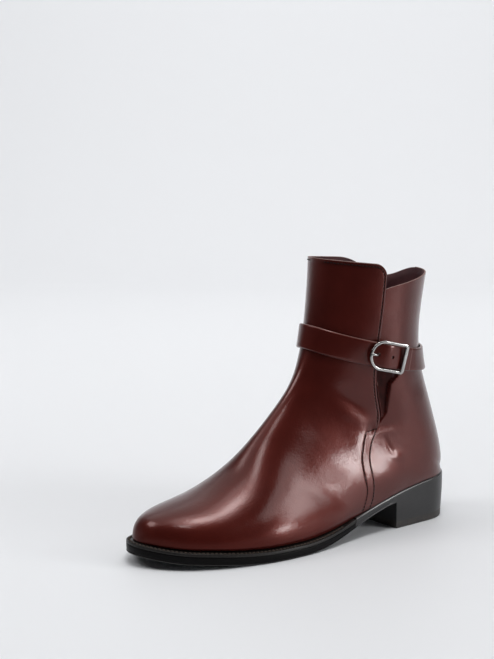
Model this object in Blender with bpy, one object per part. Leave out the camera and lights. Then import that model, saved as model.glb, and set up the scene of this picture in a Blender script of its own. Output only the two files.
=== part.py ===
"""Left ankle boot: leather upper, welted sole, block heel, ankle strap and D buckle.

Sizes are millimetres and become metres when a mesh is made. A station s runs from the back of the sole (0)
to the toe, y points to the outer side of the foot, z points up from the floor.
"""
import math

import bmesh
import bpy
import numpy as np

MM = 0.001
FIT_GAP = 0.3            # air between neighbouring pieces

# Upper
WALL = 2.2               # leather and lining together
PANEL_STEP = 1.1         # front panel stands above the rear quarter at their lap
STEP_FADE = 26.0         # distance behind the lap over which that step fades out
LAP_WIDTH = 0.3          # width of the lap's cut edge on the surface
HOLLOW_DEPTH = 2.6       # fold behind the lap, just under the buckle
HOLLOW_WIDTH = 9.0
HOLLOW_HEIGHT = 106.0    # its middle height
HOLLOW_REACH = 15.0      # half of its height
COLLAR_FRONT = 201.0     # height of the collar at the shin
COLLAR_FALL = 0.115      # slope of the front panel's top edge
COLLAR_CORNER = 9.0      # rounded rear corner of the front panel
COLLAR_NOTCH = 178.8     # lowest point of the rear quarter, at the lap
COLLAR_REAR = 187.5      # height of the collar at the back
COLLAR_BLEND = 0.62      # rows above this share follow the collar's own line
UPPER_ROWS = 25
NOSE_ROWS = 1.45         # above 1 the rows lie closer together at the toe
UPPER_SIDE_COLUMNS = (13, 20)   # lateral columns behind and ahead of the lap
UPPER_MEDIAL_COLUMNS = 32

# Sole, heel, insole
WELT_THICK = 3.0
WELT_SLOPE = 1.1         # the welt's top falls this much to its outer edge
WELT_INSIDE = 6.0        # how far the welt reaches under the upper
WELT_END = 106.0         # station where the welt's two ends are cut
WELT_CUT = 0.4           # half of the slope of the sole's step at that cut
SOLE_BEVEL = 0.9
INSOLE_THICK = 2.6
INSOLE_EDGE = WALL + 1.0
INSOLE_SKIVE = 1.2       # its top is this much smaller all round
HEEL_BREAST = 64.0
HEEL_TAPER = 1.2         # the heel is this much smaller all round at the floor
LIFT_THICK = 5.5
LOOP_POINTS = 116

# Ankle strap
STRAP_HALF = 8.5
STRAP_THICK = 1.8
STRAP_OFF = 0.9          # air between strap and upper
STRAP_SKIVE = 1.1        # thickness of the strap's hidden end
STRAP_START = 95.0       # angles round the ankle in degrees: 0 front, 90 outer side, 180 back
STRAP_END = 473.0
STRAP_COLUMNS = 92
PRONG_HOLE = 8.9         # place of the prong's hole ahead of the hidden bar

# Buckle, in its own frame: u to the toe, v up, h away from the boot
BUCKLE_ANGLE = 90.0
BUCKLE_REAR = -12.4
BUCKLE_BEND = 6.0
BUCKLE_RISE = 10.0
BUCKLE_HIGH = 4.7        # middle of the frame above the upper, at the buckle's centre
BUCKLE_TILT = 0.05       # the rear bar stands further out than the curve
BUCKLE_WIRE = 2.0
BUCKLE_BAR = 3.2         # width of the straight rear bar
PIN_BAR = 1.9            # hidden middle bar
PRONG_RADIUS = 0.7

# A row for each section through the last, from above the collar to the toe
SECTION_COLUMNS = ("front_s", "front_z", "back_s", "back_z", "lateral", "medial",
                   "feather_lateral", "feather_medial", "axis_y", "widest", "front_round", "back_round")
SECTIONS = np.array([
    (115.5, 216.0, 15.5, 212.0, 35.9, 35.9, 28.6, 28.2, 0.0, 0.52, 2.00, 2.0),    # above the collar
    (116.0, 196.0, 17.7, 192.0, 34.9, 34.9, 28.6, 28.2, 0.0, 0.52, 2.00, 2.0),    # collar
    (117.4, 178.0, 21.8, 168.2, 33.8, 33.8, 28.6, 28.2, 0.0, 0.53, 2.00, 2.0),    # shaft
    (119.6, 160.0, 24.8, 143.7, 33.2, 33.2, 28.6, 28.2, 0.0, 0.55, 2.00, 2.0),    # strap
    (123.3, 143.1, 22.6, 118.4, 32.7, 32.7, 28.6, 28.2, 0.0, 0.58, 1.95, 2.0),    # ankle
    (127.7, 130.1, 14.6, 93.7, 32.4, 32.4, 28.6, 28.2, 0.0, 0.62, 1.90, 2.0),     # high instep
    (132.8, 119.1, 5.8, 68.2, 32.3, 32.3, 28.6, 28.2, 0.0, 0.66, 1.85, 2.0),      # instep
    (137.3, 112.0, 0.5, 48.0, 32.2, 32.2, 28.6, 28.2, 0.0, 0.70, 1.85, 2.0),      # counter
    (141.3, 106.9, 1.5, 34.6, 32.3, 32.3, 28.6, 28.2, 0.0, 0.73, 1.85, 2.0),      # heel corner
    (145.0, 102.7, 9.0, 34.1, 32.2, 32.2, 28.6, 28.2, 0.0, 0.76, 1.85, 2.0),      # back of the seat
    (150.2, 97.3, 25.0, 32.7, 32.1, 31.9, 29.0, 28.2, 0.0, 0.80, 1.85, 2.1),      # heel seat
    (159.0, 88.7, 60.0, 27.7, 32.7, 30.7, 31.2, 27.5, 0.0, 0.84, 1.85, 2.2),      # heel breast
    (170.6, 77.5, 102.0, 17.0, 35.4, 30.9, 33.5, 25.5, -0.5, 0.88, 1.85, 2.3),    # waist
    (183.0, 65.3, 145.0, 9.8, 41.1, 36.1, 39.5, 33.0, -1.5, 0.91, 1.85, 2.4),     # rear of the tread
    (197.2, 53.0, 182.0, 9.1, 44.1, 39.6, 42.3, 38.0, -4.0, 0.92, 1.90, 2.4),     # ball
    (215.5, 43.6, 210.0, 10.7, 41.4, 37.5, 39.4, 36.4, -6.5, 0.92, 2.00, 2.4),    # vamp
    (234.0, 38.6, 233.0, 12.7, 38.2, 34.8, 36.0, 33.6, -8.5, 0.92, 2.10, 2.4),    # toe box
    (249.0, 34.2, 249.0, 13.7, 34.8, 32.6, 33.0, 31.6, -10.0, 0.92, 2.20, 2.4),   # toe cap
    (258.4, 28.0, 258.4, 15.4, 30.6, 29.0, 29.2, 28.2, -11.0, 0.92, 2.20, 2.4),   # nose
    (262.5, 16.6, 262.5, 16.5, 28.0, 27.0, 27.0, 26.4, -11.5, 0.92, 2.20, 2.4)])  # tip
COLUMN = {name: i for i, name in enumerate(SECTION_COLUMNS)}
CORNER_ROW = 8
HEEL_ROUND = (30.0, 2.3)   # station where the heel's rounding starts, and its fullness
TOE_ROUND = (205.0, 2.2)   # the same for the toe; widths in the table are those before rounding

# A row for each station of the sole: underside, thickness, ledge outside the upper on either side
SOLE_COLUMNS = ("station", "under", "thick", "ledge_lateral", "ledge_medial")
SOLE = np.array([
    (-4.0, 28.8, 6.4, 0.9, 0.9),
    (30.0, 25.8, 6.4, 0.9, 0.9),
    (62.0, 20.9, 6.4, 0.9, 0.9),
    (90.0, 13.6, 6.6, 1.2, 0.9),
    (115.0, 6.4, 7.9, 3.0, 1.7),
    (140.0, 1.4, 9.0, 4.5, 3.2),
    (160.0, -0.1, 9.3, 4.8, 4.2),
    (182.0, -0.1, 9.3, 4.8, 4.4),
    (205.0, 0.8, 9.4, 4.8, 4.5),
    (228.0, 2.8, 9.5, 4.7, 4.6),
    (249.0, 4.6, 9.6, 4.5, 4.5),
    (270.0, 8.4, 9.6, 4.4, 4.4)])

# Lap between front panel and rear quarter, from the collar to the sole: height and station
LAP = np.array([
    (210.0, 77.4), (182.0, 77.7), (157.0, 80.0), (120.0, 83.2), (98.0, 80.8), (82.0, 78.8),
    (74.0, 82.0), (64.7, 86.4), (54.0, 88.3), (39.4, 86.5), (28.0, 87.2), (16.0, 91.0)])

# Collar on the inner side of the foot: share of the way from back to front, and height
MEDIAL_COLLAR = np.array([
    (0.0, 187.5), (0.05, 183.2), (0.12, 180.4), (0.20, 182.8), (0.29, 188.4), (0.38, 193.0),
    (0.52, 195.6), (0.75, 197.8), (1.0, 201.0)])

# Middle height of the strap: angle round the ankle, height
STRAP_LINE = np.array([
    (-45.0, 141.4), (0.0, 145.0), (45.0, 139.6), (90.0, 130.8), (135.0, 123.6), (180.0, 124.8),
    (225.0, 129.6), (270.0, 135.0), (315.0, 141.4), (360.0, 145.0), (405.0, 139.6)])

# Air under the strap: angle along the strap, distance; its last part climbs over the hidden bar
STRAP_LIFT = np.array([
    (95.0, 0.5), (112.0, 0.6), (135.0, STRAP_OFF), (180.0, 1.4), (270.0, 1.1), (360.0, STRAP_OFF),
    (415.0, 0.7), (430.0, 0.7), (436.0, 0.9), (441.0, 1.7), (447.0, 2.9), (453.0, 3.0), (458.0, 2.5),
    (464.0, 2.2), (473.0, 2.2)])


def natural_spline(knots, values):
    """Smooth curve through rows of values at the knots."""
    count = len(knots)
    step = np.diff(knots)
    slope = np.diff(values, axis=0) / step[:, None]
    system = np.eye(count)
    right = np.zeros_like(values)
    for i in range(1, count - 1):
        system[i, i - 1:i + 2] = step[i - 1], 2 * (step[i - 1] + step[i]), step[i]
        right[i] = 6 * (slope[i] - slope[i - 1])
    bend = np.linalg.solve(system, right)

    def at(t):
        t = np.clip(np.asarray(t, float), knots[0], knots[-1])
        k = np.clip(np.searchsorted(knots, t) - 1, 0, count - 2)
        b = ((t - knots[k]) / step[k])[..., None]
        a = 1 - b
        sixth = (step[k] ** 2 / 6)[..., None]
        cubic = ((a ** 3 - a) * bend[k] + (b ** 3 - b) * bend[k + 1]) * sixth
        return a * values[k] + b * values[k + 1] + cubic
    return at


def arc_length(points):
    """Running length along a row of points."""
    steps = np.linalg.norm(np.diff(points, axis=0), axis=1)
    return np.concatenate([[0.0], np.cumsum(steps)])


def along(points, lengths):
    """Points at given lengths along a row of points."""
    arc = arc_length(points)
    return np.stack([np.interp(lengths, arc, points[:, i]) for i in range(points.shape[1])], -1)


sole_row = natural_spline(SOLE[:, 0], SOLE[:, 1:])
lap_curve = natural_spline(-LAP[:, 0], LAP[:, 1:])
medial_collar = natural_spline(MEDIAL_COLLAR[:, 0], MEDIAL_COLLAR[:, 1:])
strap_line = natural_spline(STRAP_LINE[:, 0], STRAP_LINE[:, 1:])
strap_lift = natural_spline(STRAP_LIFT[:, 0], STRAP_LIFT[:, 1:])


def sole_under(s):
    """Height of the sole's underside; the tread is flat on the floor."""
    return np.maximum(sole_row(s)[..., 0], 0.0)


def feather_height(s):
    """Height at which the upper meets the sole."""
    return sole_under(s) + sole_row(s)[..., 1]


def lap_station(z):
    return lap_curve(-np.asarray(z, float))[..., 0]


def section_table():
    """The sections with their lower ends set on the sole."""
    table = SECTIONS.copy()
    table[CORNER_ROW:, COLUMN["back_z"]] = feather_height(table[CORNER_ROW:, COLUMN["back_s"]])
    table[-1, COLUMN["front_z"]] = table[-1, COLUMN["back_z"]] + 0.1
    return table


TABLE = section_table()
KNOTS = 0.5 * (arc_length(TABLE[:, 0:2]) + arc_length(TABLE[:, 2:4]))
section_at = natural_spline(KNOTS, TABLE)
T_CORNER = KNOTS[CORNER_ROW]
T_TIP = KNOTS[-1]
PROFILE = section_at(np.linspace(0.0, T_TIP, 2400))
BACK_LINE = section_at(np.linspace(T_CORNER, 0.0, 900))[:, 2:4]
FRONT_LINE = PROFILE[::-1, 0:2]


def back_station(z):
    return np.interp(z, BACK_LINE[:, 1], BACK_LINE[:, 0])


def front_station(z):
    return np.interp(z, FRONT_LINE[:, 1], FRONT_LINE[:, 0])


def section_through(s, z):
    """Place along the last of the section that passes through a point of the side view."""
    low = np.zeros_like(s)
    high = np.full_like(s, T_TIP)
    for _ in range(40):
        middle = 0.5 * (low + high)
        row = section_at(middle)
        across = (row[..., 0] - row[..., 2]) * (z - row[..., 3])
        across -= (row[..., 1] - row[..., 3]) * (s - row[..., 2])
        high = np.where(across > 0, middle, high)
        low = np.where(across > 0, low, middle)
    return 0.5 * (low + high)


def end_rounding(s):
    """Factors by which the foot's plan narrows into the heel and into the toe."""
    start, fullness = HEEL_ROUND
    back = np.clip((start - s) / (start - TABLE[CORNER_ROW, COLUMN["back_s"]]), 0, 1)
    heel = (1 - back ** fullness) ** (1 / fullness)
    start, fullness = TOE_ROUND
    ahead = np.clip((s - start) / (TABLE[-1, COLUMN["back_s"]] - start), 0, 1)
    return heel, (1 - ahead ** fullness) ** (1 / fullness)


def side_column(side, name):
    return COLUMN[name + ("lateral" if side > 0 else "medial")]


def surface_y(s, z, side):
    """y of the last's surface at a point of the side view, on one side of the foot."""
    t = section_through(s, z)
    row = section_at(t)
    span = np.hypot(row[..., 2] - row[..., 0], row[..., 3] - row[..., 1]) + 1e-9
    depth = np.clip(np.hypot(s - row[..., 0], z - row[..., 1]) / span, 0, 1)
    heel, toe = end_rounding(row[..., COLUMN["back_s"]])
    wide = row[..., side_column(side, "")] * toe
    feather = np.where(t <= T_CORNER, 0, row[..., side_column(side, "feather_")] * heel * toe)
    feather = np.clip(feather, 0, wide)
    widest = row[..., COLUMN["widest"]]
    front_n = row[..., COLUMN["front_round"]]
    back_n = row[..., COLUMN["back_round"]]
    rise = np.clip(1 - depth / widest, 0, 1)
    front = wide * (1 - rise ** front_n) ** (1 / front_n)
    fall = np.clip((depth - widest) / (1 - widest), 0, 1)
    back = np.maximum(wide ** back_n - (wide ** back_n - feather ** back_n) * fall ** back_n, 0)
    half = np.where(depth < widest, front, back ** (1 / back_n))
    return row[..., COLUMN["axis_y"]] + side * half


def feather_side(side):
    """Line where the upper meets the sole on one side, heel to toe: s, y, z."""
    turn = np.linspace(0, 2 * math.pi, 1200)
    share = (turn - 0.97 * np.sin(turn)) / (2 * math.pi)     # closer together at heel and toe
    row = section_at(T_CORNER + (T_TIP - T_CORNER) * share)
    heel, toe = end_rounding(row[:, COLUMN["back_s"]])
    half = row[:, side_column(side, "feather_")] * heel * toe
    y = row[:, COLUMN["axis_y"]] + side * half
    return np.stack([row[:, 2], y, feather_height(row[:, 2])], -1)


def side_patch(side):
    """Function from (u, v) to the side view: u runs back to front, v from the sole to above the collar."""
    share = np.linspace(0, 1, 400)
    feather = feather_side(side)
    bottom = along(feather, share * arc_length(feather)[-1])[:, [0, 2]]
    blend = 0.5 * (1 - np.cos(math.pi * share))
    top_z = COLLAR_REAR + 2 + (COLLAR_FRONT - COLLAR_REAR) * blend
    top_s = back_station(top_z) + (front_station(top_z) - back_station(top_z)) * blend
    top = np.stack([top_s, top_z], -1)
    bottom_blend = (bottom[:, 0] - bottom[0, 0]) / (bottom[-1, 0] - bottom[0, 0])
    back_top = np.interp(top[0, 1], BACK_LINE[:, 1], arc_length(BACK_LINE))
    front_top = np.interp(top[-1, 1], FRONT_LINE[:, 1], arc_length(FRONT_LINE))

    def pick(values, u):
        return np.interp(u, share, values)

    def at(u, v):
        low = np.stack([pick(bottom[:, i], u) for i in (0, 1)], -1)
        high = np.stack([pick(top[:, i], u) for i in (0, 1)], -1)
        back = along(BACK_LINE, v * back_top)
        front = along(FRONT_LINE, v ** NOSE_ROWS * front_top)
        w = ((1 - v) * pick(bottom_blend, u) + v * pick(blend, u))[..., None]
        v = v[..., None]
        corners = ((1 - w) * (1 - v) * bottom[0] + w * (1 - v) * bottom[-1]
                   + (1 - w) * v * top[0] + w * v * top[-1])
        return (1 - v) * low + v * high + (1 - w) * back + w * front - corners
    return at


def collar_height(side, s, ahead):
    """Height of the collar at a station; the lateral side is cut by the lap."""
    share = np.clip((s - back_station(190.0)) / (front_station(200.0) - back_station(190.0)), 0, 1)
    if side < 0:
        return medial_collar(share)[..., 0]
    edge = lap_station(185.0)
    from_edge = np.clip(COLLAR_CORNER - (s - edge), 0, COLLAR_CORNER)
    corner = COLLAR_CORNER - np.sqrt(COLLAR_CORNER ** 2 - from_edge ** 2)
    panel = COLLAR_FRONT - COLLAR_FALL * (front_station(200.0) - s) - corner
    back = np.clip((edge - s) / (edge - back_station(190.0)), 0, 1)
    quarter = COLLAR_NOTCH + (COLLAR_REAR - COLLAR_NOTCH) * back ** 0.8
    return np.where(ahead, panel, quarter)


def collar_limit(side, patch, u_top, ahead):
    """Share of each column that lies under the collar."""
    v = np.linspace(0.5, 1.0, 120)
    limit = np.empty(len(u_top))
    for j, u in enumerate(u_top):
        line = patch(np.full_like(v, u), v)
        over = line[:, 1] - collar_height(side, line[:, 0], ahead[j])
        limit[j] = np.interp(0.0, over, v)
    return limit


def lap_share(patch, v):
    """u at which each row of the lateral patch meets the lap."""
    u = np.linspace(0.02, 0.98, 300)
    shares = np.empty_like(v)
    for i, row in np.ndenumerate(v):
        line = patch(u, np.full_like(u, row))
        shares[i] = np.interp(0.0, line[:, 0] - lap_station(line[:, 1]), u)
    return shares


def eased(count):
    """Shares from 0 to 1, closer together near both ends."""
    share = np.linspace(0, 1, count)
    return 0.6 * share + 0.4 * 0.5 * (1 - np.cos(math.pi * share))


def upper_side(side):
    """Rows of surface points on one side, back to front, and the distance ahead of the lap."""
    patch = side_patch(side)
    v = np.linspace(0, 1, UPPER_ROWS) ** 0.92
    if side > 0:
        rear, fore = UPPER_SIDE_COLUMNS
        ahead = np.concatenate([np.zeros(rear, bool), np.ones(fore, bool)])
        behind_share = eased(rear)
        front_share = eased(fore)
    else:
        ahead = np.ones(UPPER_MEDIAL_COLUMNS, bool)
        front_share = np.linspace(0, 1, UPPER_MEDIAL_COLUMNS)

    def columns(v_grid):
        if side < 0:
            return np.broadcast_to(front_share, v_grid.shape)
        lap = np.interp(v_grid, np.linspace(0, 1, 60), lap_share(patch, np.linspace(0, 1, 60)))
        half = 0.5 * LAP_WIDTH / 330.0
        u = np.empty_like(v_grid)
        u[:, ~ahead] = (lap[:, ~ahead] - half) * behind_share
        u[:, ahead] = lap[:, ahead] + half + (1 - lap[:, ahead] - half) * front_share
        return u

    one_row = np.ones((1, len(ahead)))
    limit = collar_limit(side, patch, columns(one_row)[0], ahead)
    upper_part = np.clip((v - COLLAR_BLEND) / (1 - COLLAR_BLEND), 0, 1)[:, None]
    v_grid = np.minimum(v, COLLAR_BLEND)[:, None] + upper_part * (limit[None] - COLLAR_BLEND)
    u_grid = columns(v_grid)
    flat = patch(u_grid, v_grid)
    s, z = flat[..., 0], flat[..., 1]
    y = surface_y(s, z, side)
    axis = section_at(section_through(s, z))[..., COLUMN["axis_y"]]
    y[:, [0, -1]] = axis[:, [0, -1]]
    feather = feather_side(side)
    y[0] = along(feather, u_grid[0] * arc_length(feather)[-1])[:, 1]
    points = np.stack([s, y, z], -1)
    distance = s - lap_station(z)
    return points, np.where(ahead, np.maximum(distance, 0), np.minimum(distance, -1e-6))


def lap_relief(distance, z):
    """Outer and inner steps of the wall round the lap; negative distances lie behind it."""
    behind = distance < 0
    fade = np.clip(1 + distance / STEP_FADE, 0, 1)
    step = PANEL_STEP * fade ** 2 * (3 - 2 * fade)
    height = np.clip(1 - ((z - HOLLOW_HEIGHT) / HOLLOW_REACH) ** 2, 0, 1) ** 2
    hollow = HOLLOW_DEPTH * height * np.exp(-(distance / HOLLOW_WIDTH) ** 2)
    outer = np.where(behind, -step - hollow, 0.0)
    return outer, -hollow


def grid_normals(points):
    """Unit normals of a ring grid, pointing out of the boot; rows go up, columns go round."""
    around = np.roll(points, -1, 1) - np.roll(points, 1, 1)
    upward = np.gradient(points, axis=0)
    normal = np.cross(upward, around)
    return normal / (np.linalg.norm(normal, axis=-1, keepdims=True) + 1e-12)


def upper_rings():
    """Outer and inner wall of the upper as grids of points, going round from the back by the outer side."""
    lateral, lateral_lap = upper_side(1)
    medial, medial_lap = upper_side(-1)
    base = np.concatenate([lateral, medial[:, -2:0:-1]], 1)
    lap = np.concatenate([lateral_lap, np.full_like(medial_lap, 90.0)[:, -2:0:-1]], 1)
    normal = grid_normals(base)
    rear = UPPER_SIDE_COLUMNS[0]
    normal[:, rear - 1] = normal[:, rear - 2]
    normal[:, rear] = normal[:, rear + 1]
    outer_step, inner_step = lap_relief(lap, base[..., 2])
    outer = base + normal * outer_step[..., None]
    inner = base + normal * (inner_step - WALL)[..., None]
    level = normal[0] * (1, 1, 0)
    inner[0] = base[0] - level / np.linalg.norm(level, axis=-1, keepdims=True) * WALL
    inner[0, :, 2] = feather_height(inner[0, :, 0])
    outer[0, :, 2] = feather_height(outer[0, :, 0])
    return outer, inner


def sole_loop(extra=()):
    """Plan of the feather line as a closed loop: heel, outer side, toe, inner side.

    Both sides share their stations, and extra ones can be added.
    """
    lateral = feather_side(1)
    station = along(lateral, eased(LOOP_POINTS // 2 + 1) * arc_length(lateral)[-1])[:, 0]
    clear = [all(abs(value - mark) > 2.0 for mark in extra) for value in station]
    station = np.sort(np.concatenate([station[clear], extra]))
    halves = []
    for side in (1, -1):
        line = feather_side(side)
        halves.append(np.stack([station, np.interp(station, line[:, 0], line[:, 1])], -1))
    return np.concatenate([halves[0], halves[1][-2:0:-1]]), len(station) - 1


def moved_out(loop, distance):
    """Plan loop moved outwards by a distance per point."""
    tangent = np.roll(loop, -1, 0) - np.roll(loop, 1, 0)
    normal = np.stack([-tangent[:, 1], tangent[:, 0]], -1)
    return loop + normal / np.linalg.norm(normal, axis=1, keepdims=True) * np.reshape(distance, (-1, 1))


def ledges(loop, half):
    """Width of the sole outside the upper for each point of the loop."""
    row = sole_row(loop[:, 0])
    return np.where(np.arange(len(loop)) <= half, row[:, 2], row[:, 3])


def stacked_loops(loops, half):
    """Closed solid from loops of equal count, with the first and last closed by strips across."""
    count = len(loops[0])
    points = np.concatenate(loops)
    faces = []
    for level in range(len(loops) - 1):
        for i in range(count):
            j = (i + 1) % count
            low = level * count
            faces.append((low + i, low + j, low + count + j, low + count + i))
    for base in (0, (len(loops) - 1) * count):
        for i in range(half):
            a, b = base + i, base + i + 1
            c, d = base + (count - i - 1) % count, base + (count - i) % count
            corners = [a, b, c, d]
            faces.append(tuple(dict.fromkeys(corners)))
    return points, [face for face in faces if len(face) > 2]


def at_height(plan, height):
    return np.column_stack([plan, height])


def mesh_object(name, points, faces, material):
    """Closed mesh object in metres with outward normals."""
    shape = bmesh.new()
    verts = [shape.verts.new(tuple(p * MM)) for p in points]
    for face in faces:
        shape.faces.new([verts[i] for i in face])
    bmesh.ops.triangulate(shape, faces=shape.faces[:])
    bmesh.ops.recalc_face_normals(shape, faces=shape.faces[:])
    mesh = bpy.data.meshes.new(name)
    shape.to_mesh(mesh)
    shape.free()
    thing = bpy.data.objects.new(name, mesh)
    mesh.materials.append(material)
    bpy.context.scene.collection.objects.link(thing)
    return thing


def material(name, colour, roughness, metallic=0.0):
    made = bpy.data.materials.new(name)
    made.use_nodes = True
    shader = made.node_tree.nodes["Principled BSDF"]
    shader.inputs["Base Color"].default_value = (*colour, 1.0)
    shader.inputs["Roughness"].default_value = roughness
    shader.inputs["Metallic"].default_value = metallic
    return made


def tube_faces(rows, columns, closed_rows):
    """Quads of a grid whose columns close into a ring; the rows may close too."""
    faces = []
    for i in range(rows if closed_rows else rows - 1):
        k = (i + 1) % rows
        for j in range(columns):
            n = (j + 1) % columns
            faces.append((i * columns + j, i * columns + n, k * columns + n, k * columns + j))
    return faces


def make_upper(look):
    outer, inner = upper_rings()
    loops = np.concatenate([outer, inner[::-1]])
    rows, columns = loops.shape[:2]
    return mesh_object("upper", loops.reshape(-1, 3), tube_faces(rows, columns, True), look)


def make_outsole(look):
    loop, half = sole_loop((WELT_END - WELT_CUT, WELT_END + WELT_CUT))
    ledge = ledges(loop, half)
    edge = moved_out(loop, ledge)
    under_edge = moved_out(loop, ledge - SOLE_BEVEL)
    seat = moved_out(loop, -WELT_INSIDE - FIT_GAP)
    welted = np.where(loop[:, 0] > WELT_END, WELT_THICK + FIT_GAP, 0.0)
    plateau = moved_out(loop, -WELT_INSIDE - 2 * FIT_GAP)
    loops = [at_height(under_edge, sole_under(under_edge[:, 0])),
             at_height(edge, sole_under(edge[:, 0]) + SOLE_BEVEL),
             at_height(edge, feather_height(edge[:, 0]) - FIT_GAP - welted),
             at_height(seat, feather_height(seat[:, 0]) - FIT_GAP - welted),
             at_height(plateau, feather_height(plateau[:, 0]) - FIT_GAP)]
    return mesh_object("outsole", *stacked_loops(loops, half), look)


def make_welt(look):
    start = WELT_END + WELT_CUT + FIT_GAP
    loop, half = sole_loop((start,))
    keep = np.flatnonzero(loop[:, 0] > start - 0.01)
    edge = moved_out(loop, ledges(loop, half))[keep]
    inside = moved_out(loop, -WELT_INSIDE)[keep]
    edge_top = feather_height(edge[:, 0]) - FIT_GAP
    inside_top = feather_height(inside[:, 0]) - FIT_GAP
    corners = [at_height(edge, edge_top - WELT_THICK), at_height(edge, edge_top - WELT_SLOPE),
               at_height(inside, inside_top), at_height(inside, inside_top - WELT_THICK)]
    points = np.stack(corners, 1)
    rows = len(keep)
    faces = tube_faces(rows, 4, False)
    faces.append((0, 1, 2, 3))
    faces.append(tuple(4 * (rows - 1) + i for i in range(4)))
    return mesh_object("welt", points.reshape(-1, 3), faces, look)


def make_insole(look):
    loop, half = sole_loop()
    under = moved_out(loop, -INSOLE_EDGE)
    top = moved_out(loop, -INSOLE_EDGE - INSOLE_SKIVE)
    loops = [at_height(under, feather_height(under[:, 0])),
             at_height(top, feather_height(top[:, 0]) + INSOLE_THICK)]
    return mesh_object("insole", *stacked_loops(loops, half), look)


def heel_plan(inset):
    """Outer and inner halves of the heel's plan from the back to the straight breast."""
    loop, half = sole_loop((HEEL_BREAST,))
    edge = moved_out(loop, ledges(loop, half) - inset)
    lateral = edge[:half + 1]
    medial = np.concatenate([edge[:1], edge[:half - 1:-1]])
    plan = []
    for side in (lateral, medial):
        kept = side[side[:, 0] < HEEL_BREAST - inset - 0.5]
        end = np.interp(HEEL_BREAST - inset, side[:half - 4, 0], side[:half - 4, 1])
        plan.append(np.concatenate([kept, [(HEEL_BREAST - inset, end)]]))
    lateral, medial = plan
    return np.concatenate([lateral, medial[::-1][:-1]]), len(lateral) - 1


def heel_slab(name, low, high, look):
    """Piece of the heel between two height functions."""
    def inset(height):
        return HEEL_TAPER * (1 - np.clip(height / 20.0, 0, 1))

    loops = []
    for height in (low, high):
        plan, half = heel_plan(0.0)
        taper, _ = heel_plan(HEEL_TAPER)
        z = height(plan[:, 0])
        share = (inset(z) / HEEL_TAPER)[:, None]
        loops.append(at_height(plan * (1 - share) + taper * share, z))
    count = len(loops[0])
    points = np.concatenate(loops)
    faces = []
    for i in range(count):
        j = (i + 1) % count
        faces.append((i, j, count + j, count + i))
    for base in (0, count):
        for i in range(half):
            corners = [base + i, base + i + 1, base + (count - i - 1) % count, base + (count - i) % count]
            faces.append(tuple(dict.fromkeys(corners)))
    return mesh_object(name, points, [face for face in faces if len(face) > 2], look)


def make_heel(look):
    return heel_slab("heel", lambda s: np.full_like(s, LIFT_THICK + FIT_GAP),
                     lambda s: sole_under(s) - FIT_GAP, look)


def make_heel_lift(look):
    return heel_slab("heel_lift", np.zeros_like, lambda s: np.full_like(s, LIFT_THICK), look)


def ankle_points(angle, z):
    """Points of the upper round the ankle; the angle is in degrees, 0 front and 90 outer side."""
    turn = np.radians(angle)
    middle = 0.5 * (front_station(z) + back_station(z))
    reach = 0.5 * (front_station(z) - back_station(z))
    s = middle + reach * 0.9999 * np.cos(turn)
    y = np.where(np.sin(turn) >= 0, surface_y(s, z, 1), surface_y(s, z, -1))
    return np.stack([s, y, z], -1)


def ankle_frame(angle, z):
    """Points round the ankle with their outward normals."""
    here = ankle_points(angle, z)
    around = ankle_points(angle + 0.6, z) - ankle_points(angle - 0.6, z)
    upward = ankle_points(angle, z + 1.0) - ankle_points(angle, z - 1.0)
    normal = np.cross(around, upward)
    return here, normal / np.linalg.norm(normal, axis=-1, keepdims=True)


def buckle_axes():
    """Centre of the buckle on the upper and its axes: to the toe, up, outwards."""
    z = strap_line(np.array([BUCKLE_ANGLE]))[..., 0]
    here, out = ankle_frame(np.array([BUCKLE_ANGLE]), z)
    ends = np.array([BUCKLE_ANGLE - 8.0, BUCKLE_ANGLE + 8.0])
    line = ankle_points(ends, strap_line(ends)[..., 0])
    forward = line[0] - line[1]
    forward -= out[0] * (forward @ out[0])
    forward /= np.linalg.norm(forward)
    return here[0], forward, np.cross(forward, out[0]), out[0]


def in_buckle(u, v, h):
    centre, forward, up, out = buckle_axes()
    return centre + np.multiply.outer(u, forward) + np.multiply.outer(v, up) + np.multiply.outer(h, out)


def strap_grid():
    """Inner and outer faces of the strap: rows along it, four points across."""
    angle = np.linspace(STRAP_START, STRAP_END, STRAP_COLUMNS)
    lift = strap_lift(angle)[..., 0]
    thick = np.interp(angle, (STRAP_START, 108.0, 122.0), (STRAP_SKIVE, STRAP_SKIVE, STRAP_THICK))
    inner, outer = [], []
    for across in np.linspace(-STRAP_HALF, STRAP_HALF, 4):
        slant = 0.2 * across * np.clip((angle - 440.0) / 30.0, 0, 1)
        turned = angle + slant
        z = strap_line(turned % 360.0)[..., 0] + across
        here, out = ankle_frame(turned, z)
        inner.append(here + out * lift[:, None])
        outer.append(here + out * (lift + thick)[:, None])
    return np.stack(inner, 1), np.stack(outer, 1)


def cylinder_cutter(name, u, v, radius_u, radius_v):
    """Hidden cutter for a hole in the strap, standing along the buckle's outward axis."""
    turn = np.linspace(0, 2 * math.pi, 16, endpoint=False)
    rings = [in_buckle(u + radius_u * np.cos(turn), v + radius_v * np.sin(turn), np.full(16, h))
             for h in (-0.2, 9.0)]
    faces = tube_faces(2, 16, False)
    faces.append(tuple(range(16)))
    faces.append(tuple(range(16, 32)))
    return mesh_object(name, np.concatenate(rings), faces, material(name, (0.1, 0.1, 0.1), 0.5))


def cut(thing, cutter, how):
    """Boolean of one object by another; the cutter is removed."""
    step = thing.modifiers.new("cut", "BOOLEAN")
    step.operation = how
    step.solver = "EXACT"
    step.object = cutter
    bpy.context.view_layer.update()
    done = thing.evaluated_get(bpy.context.evaluated_depsgraph_get())
    mesh = bpy.data.meshes.new_from_object(done)
    thing.modifiers.clear()
    old = thing.data
    thing.data = mesh
    bpy.data.meshes.remove(old)
    bpy.data.objects.remove(cutter)


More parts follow.
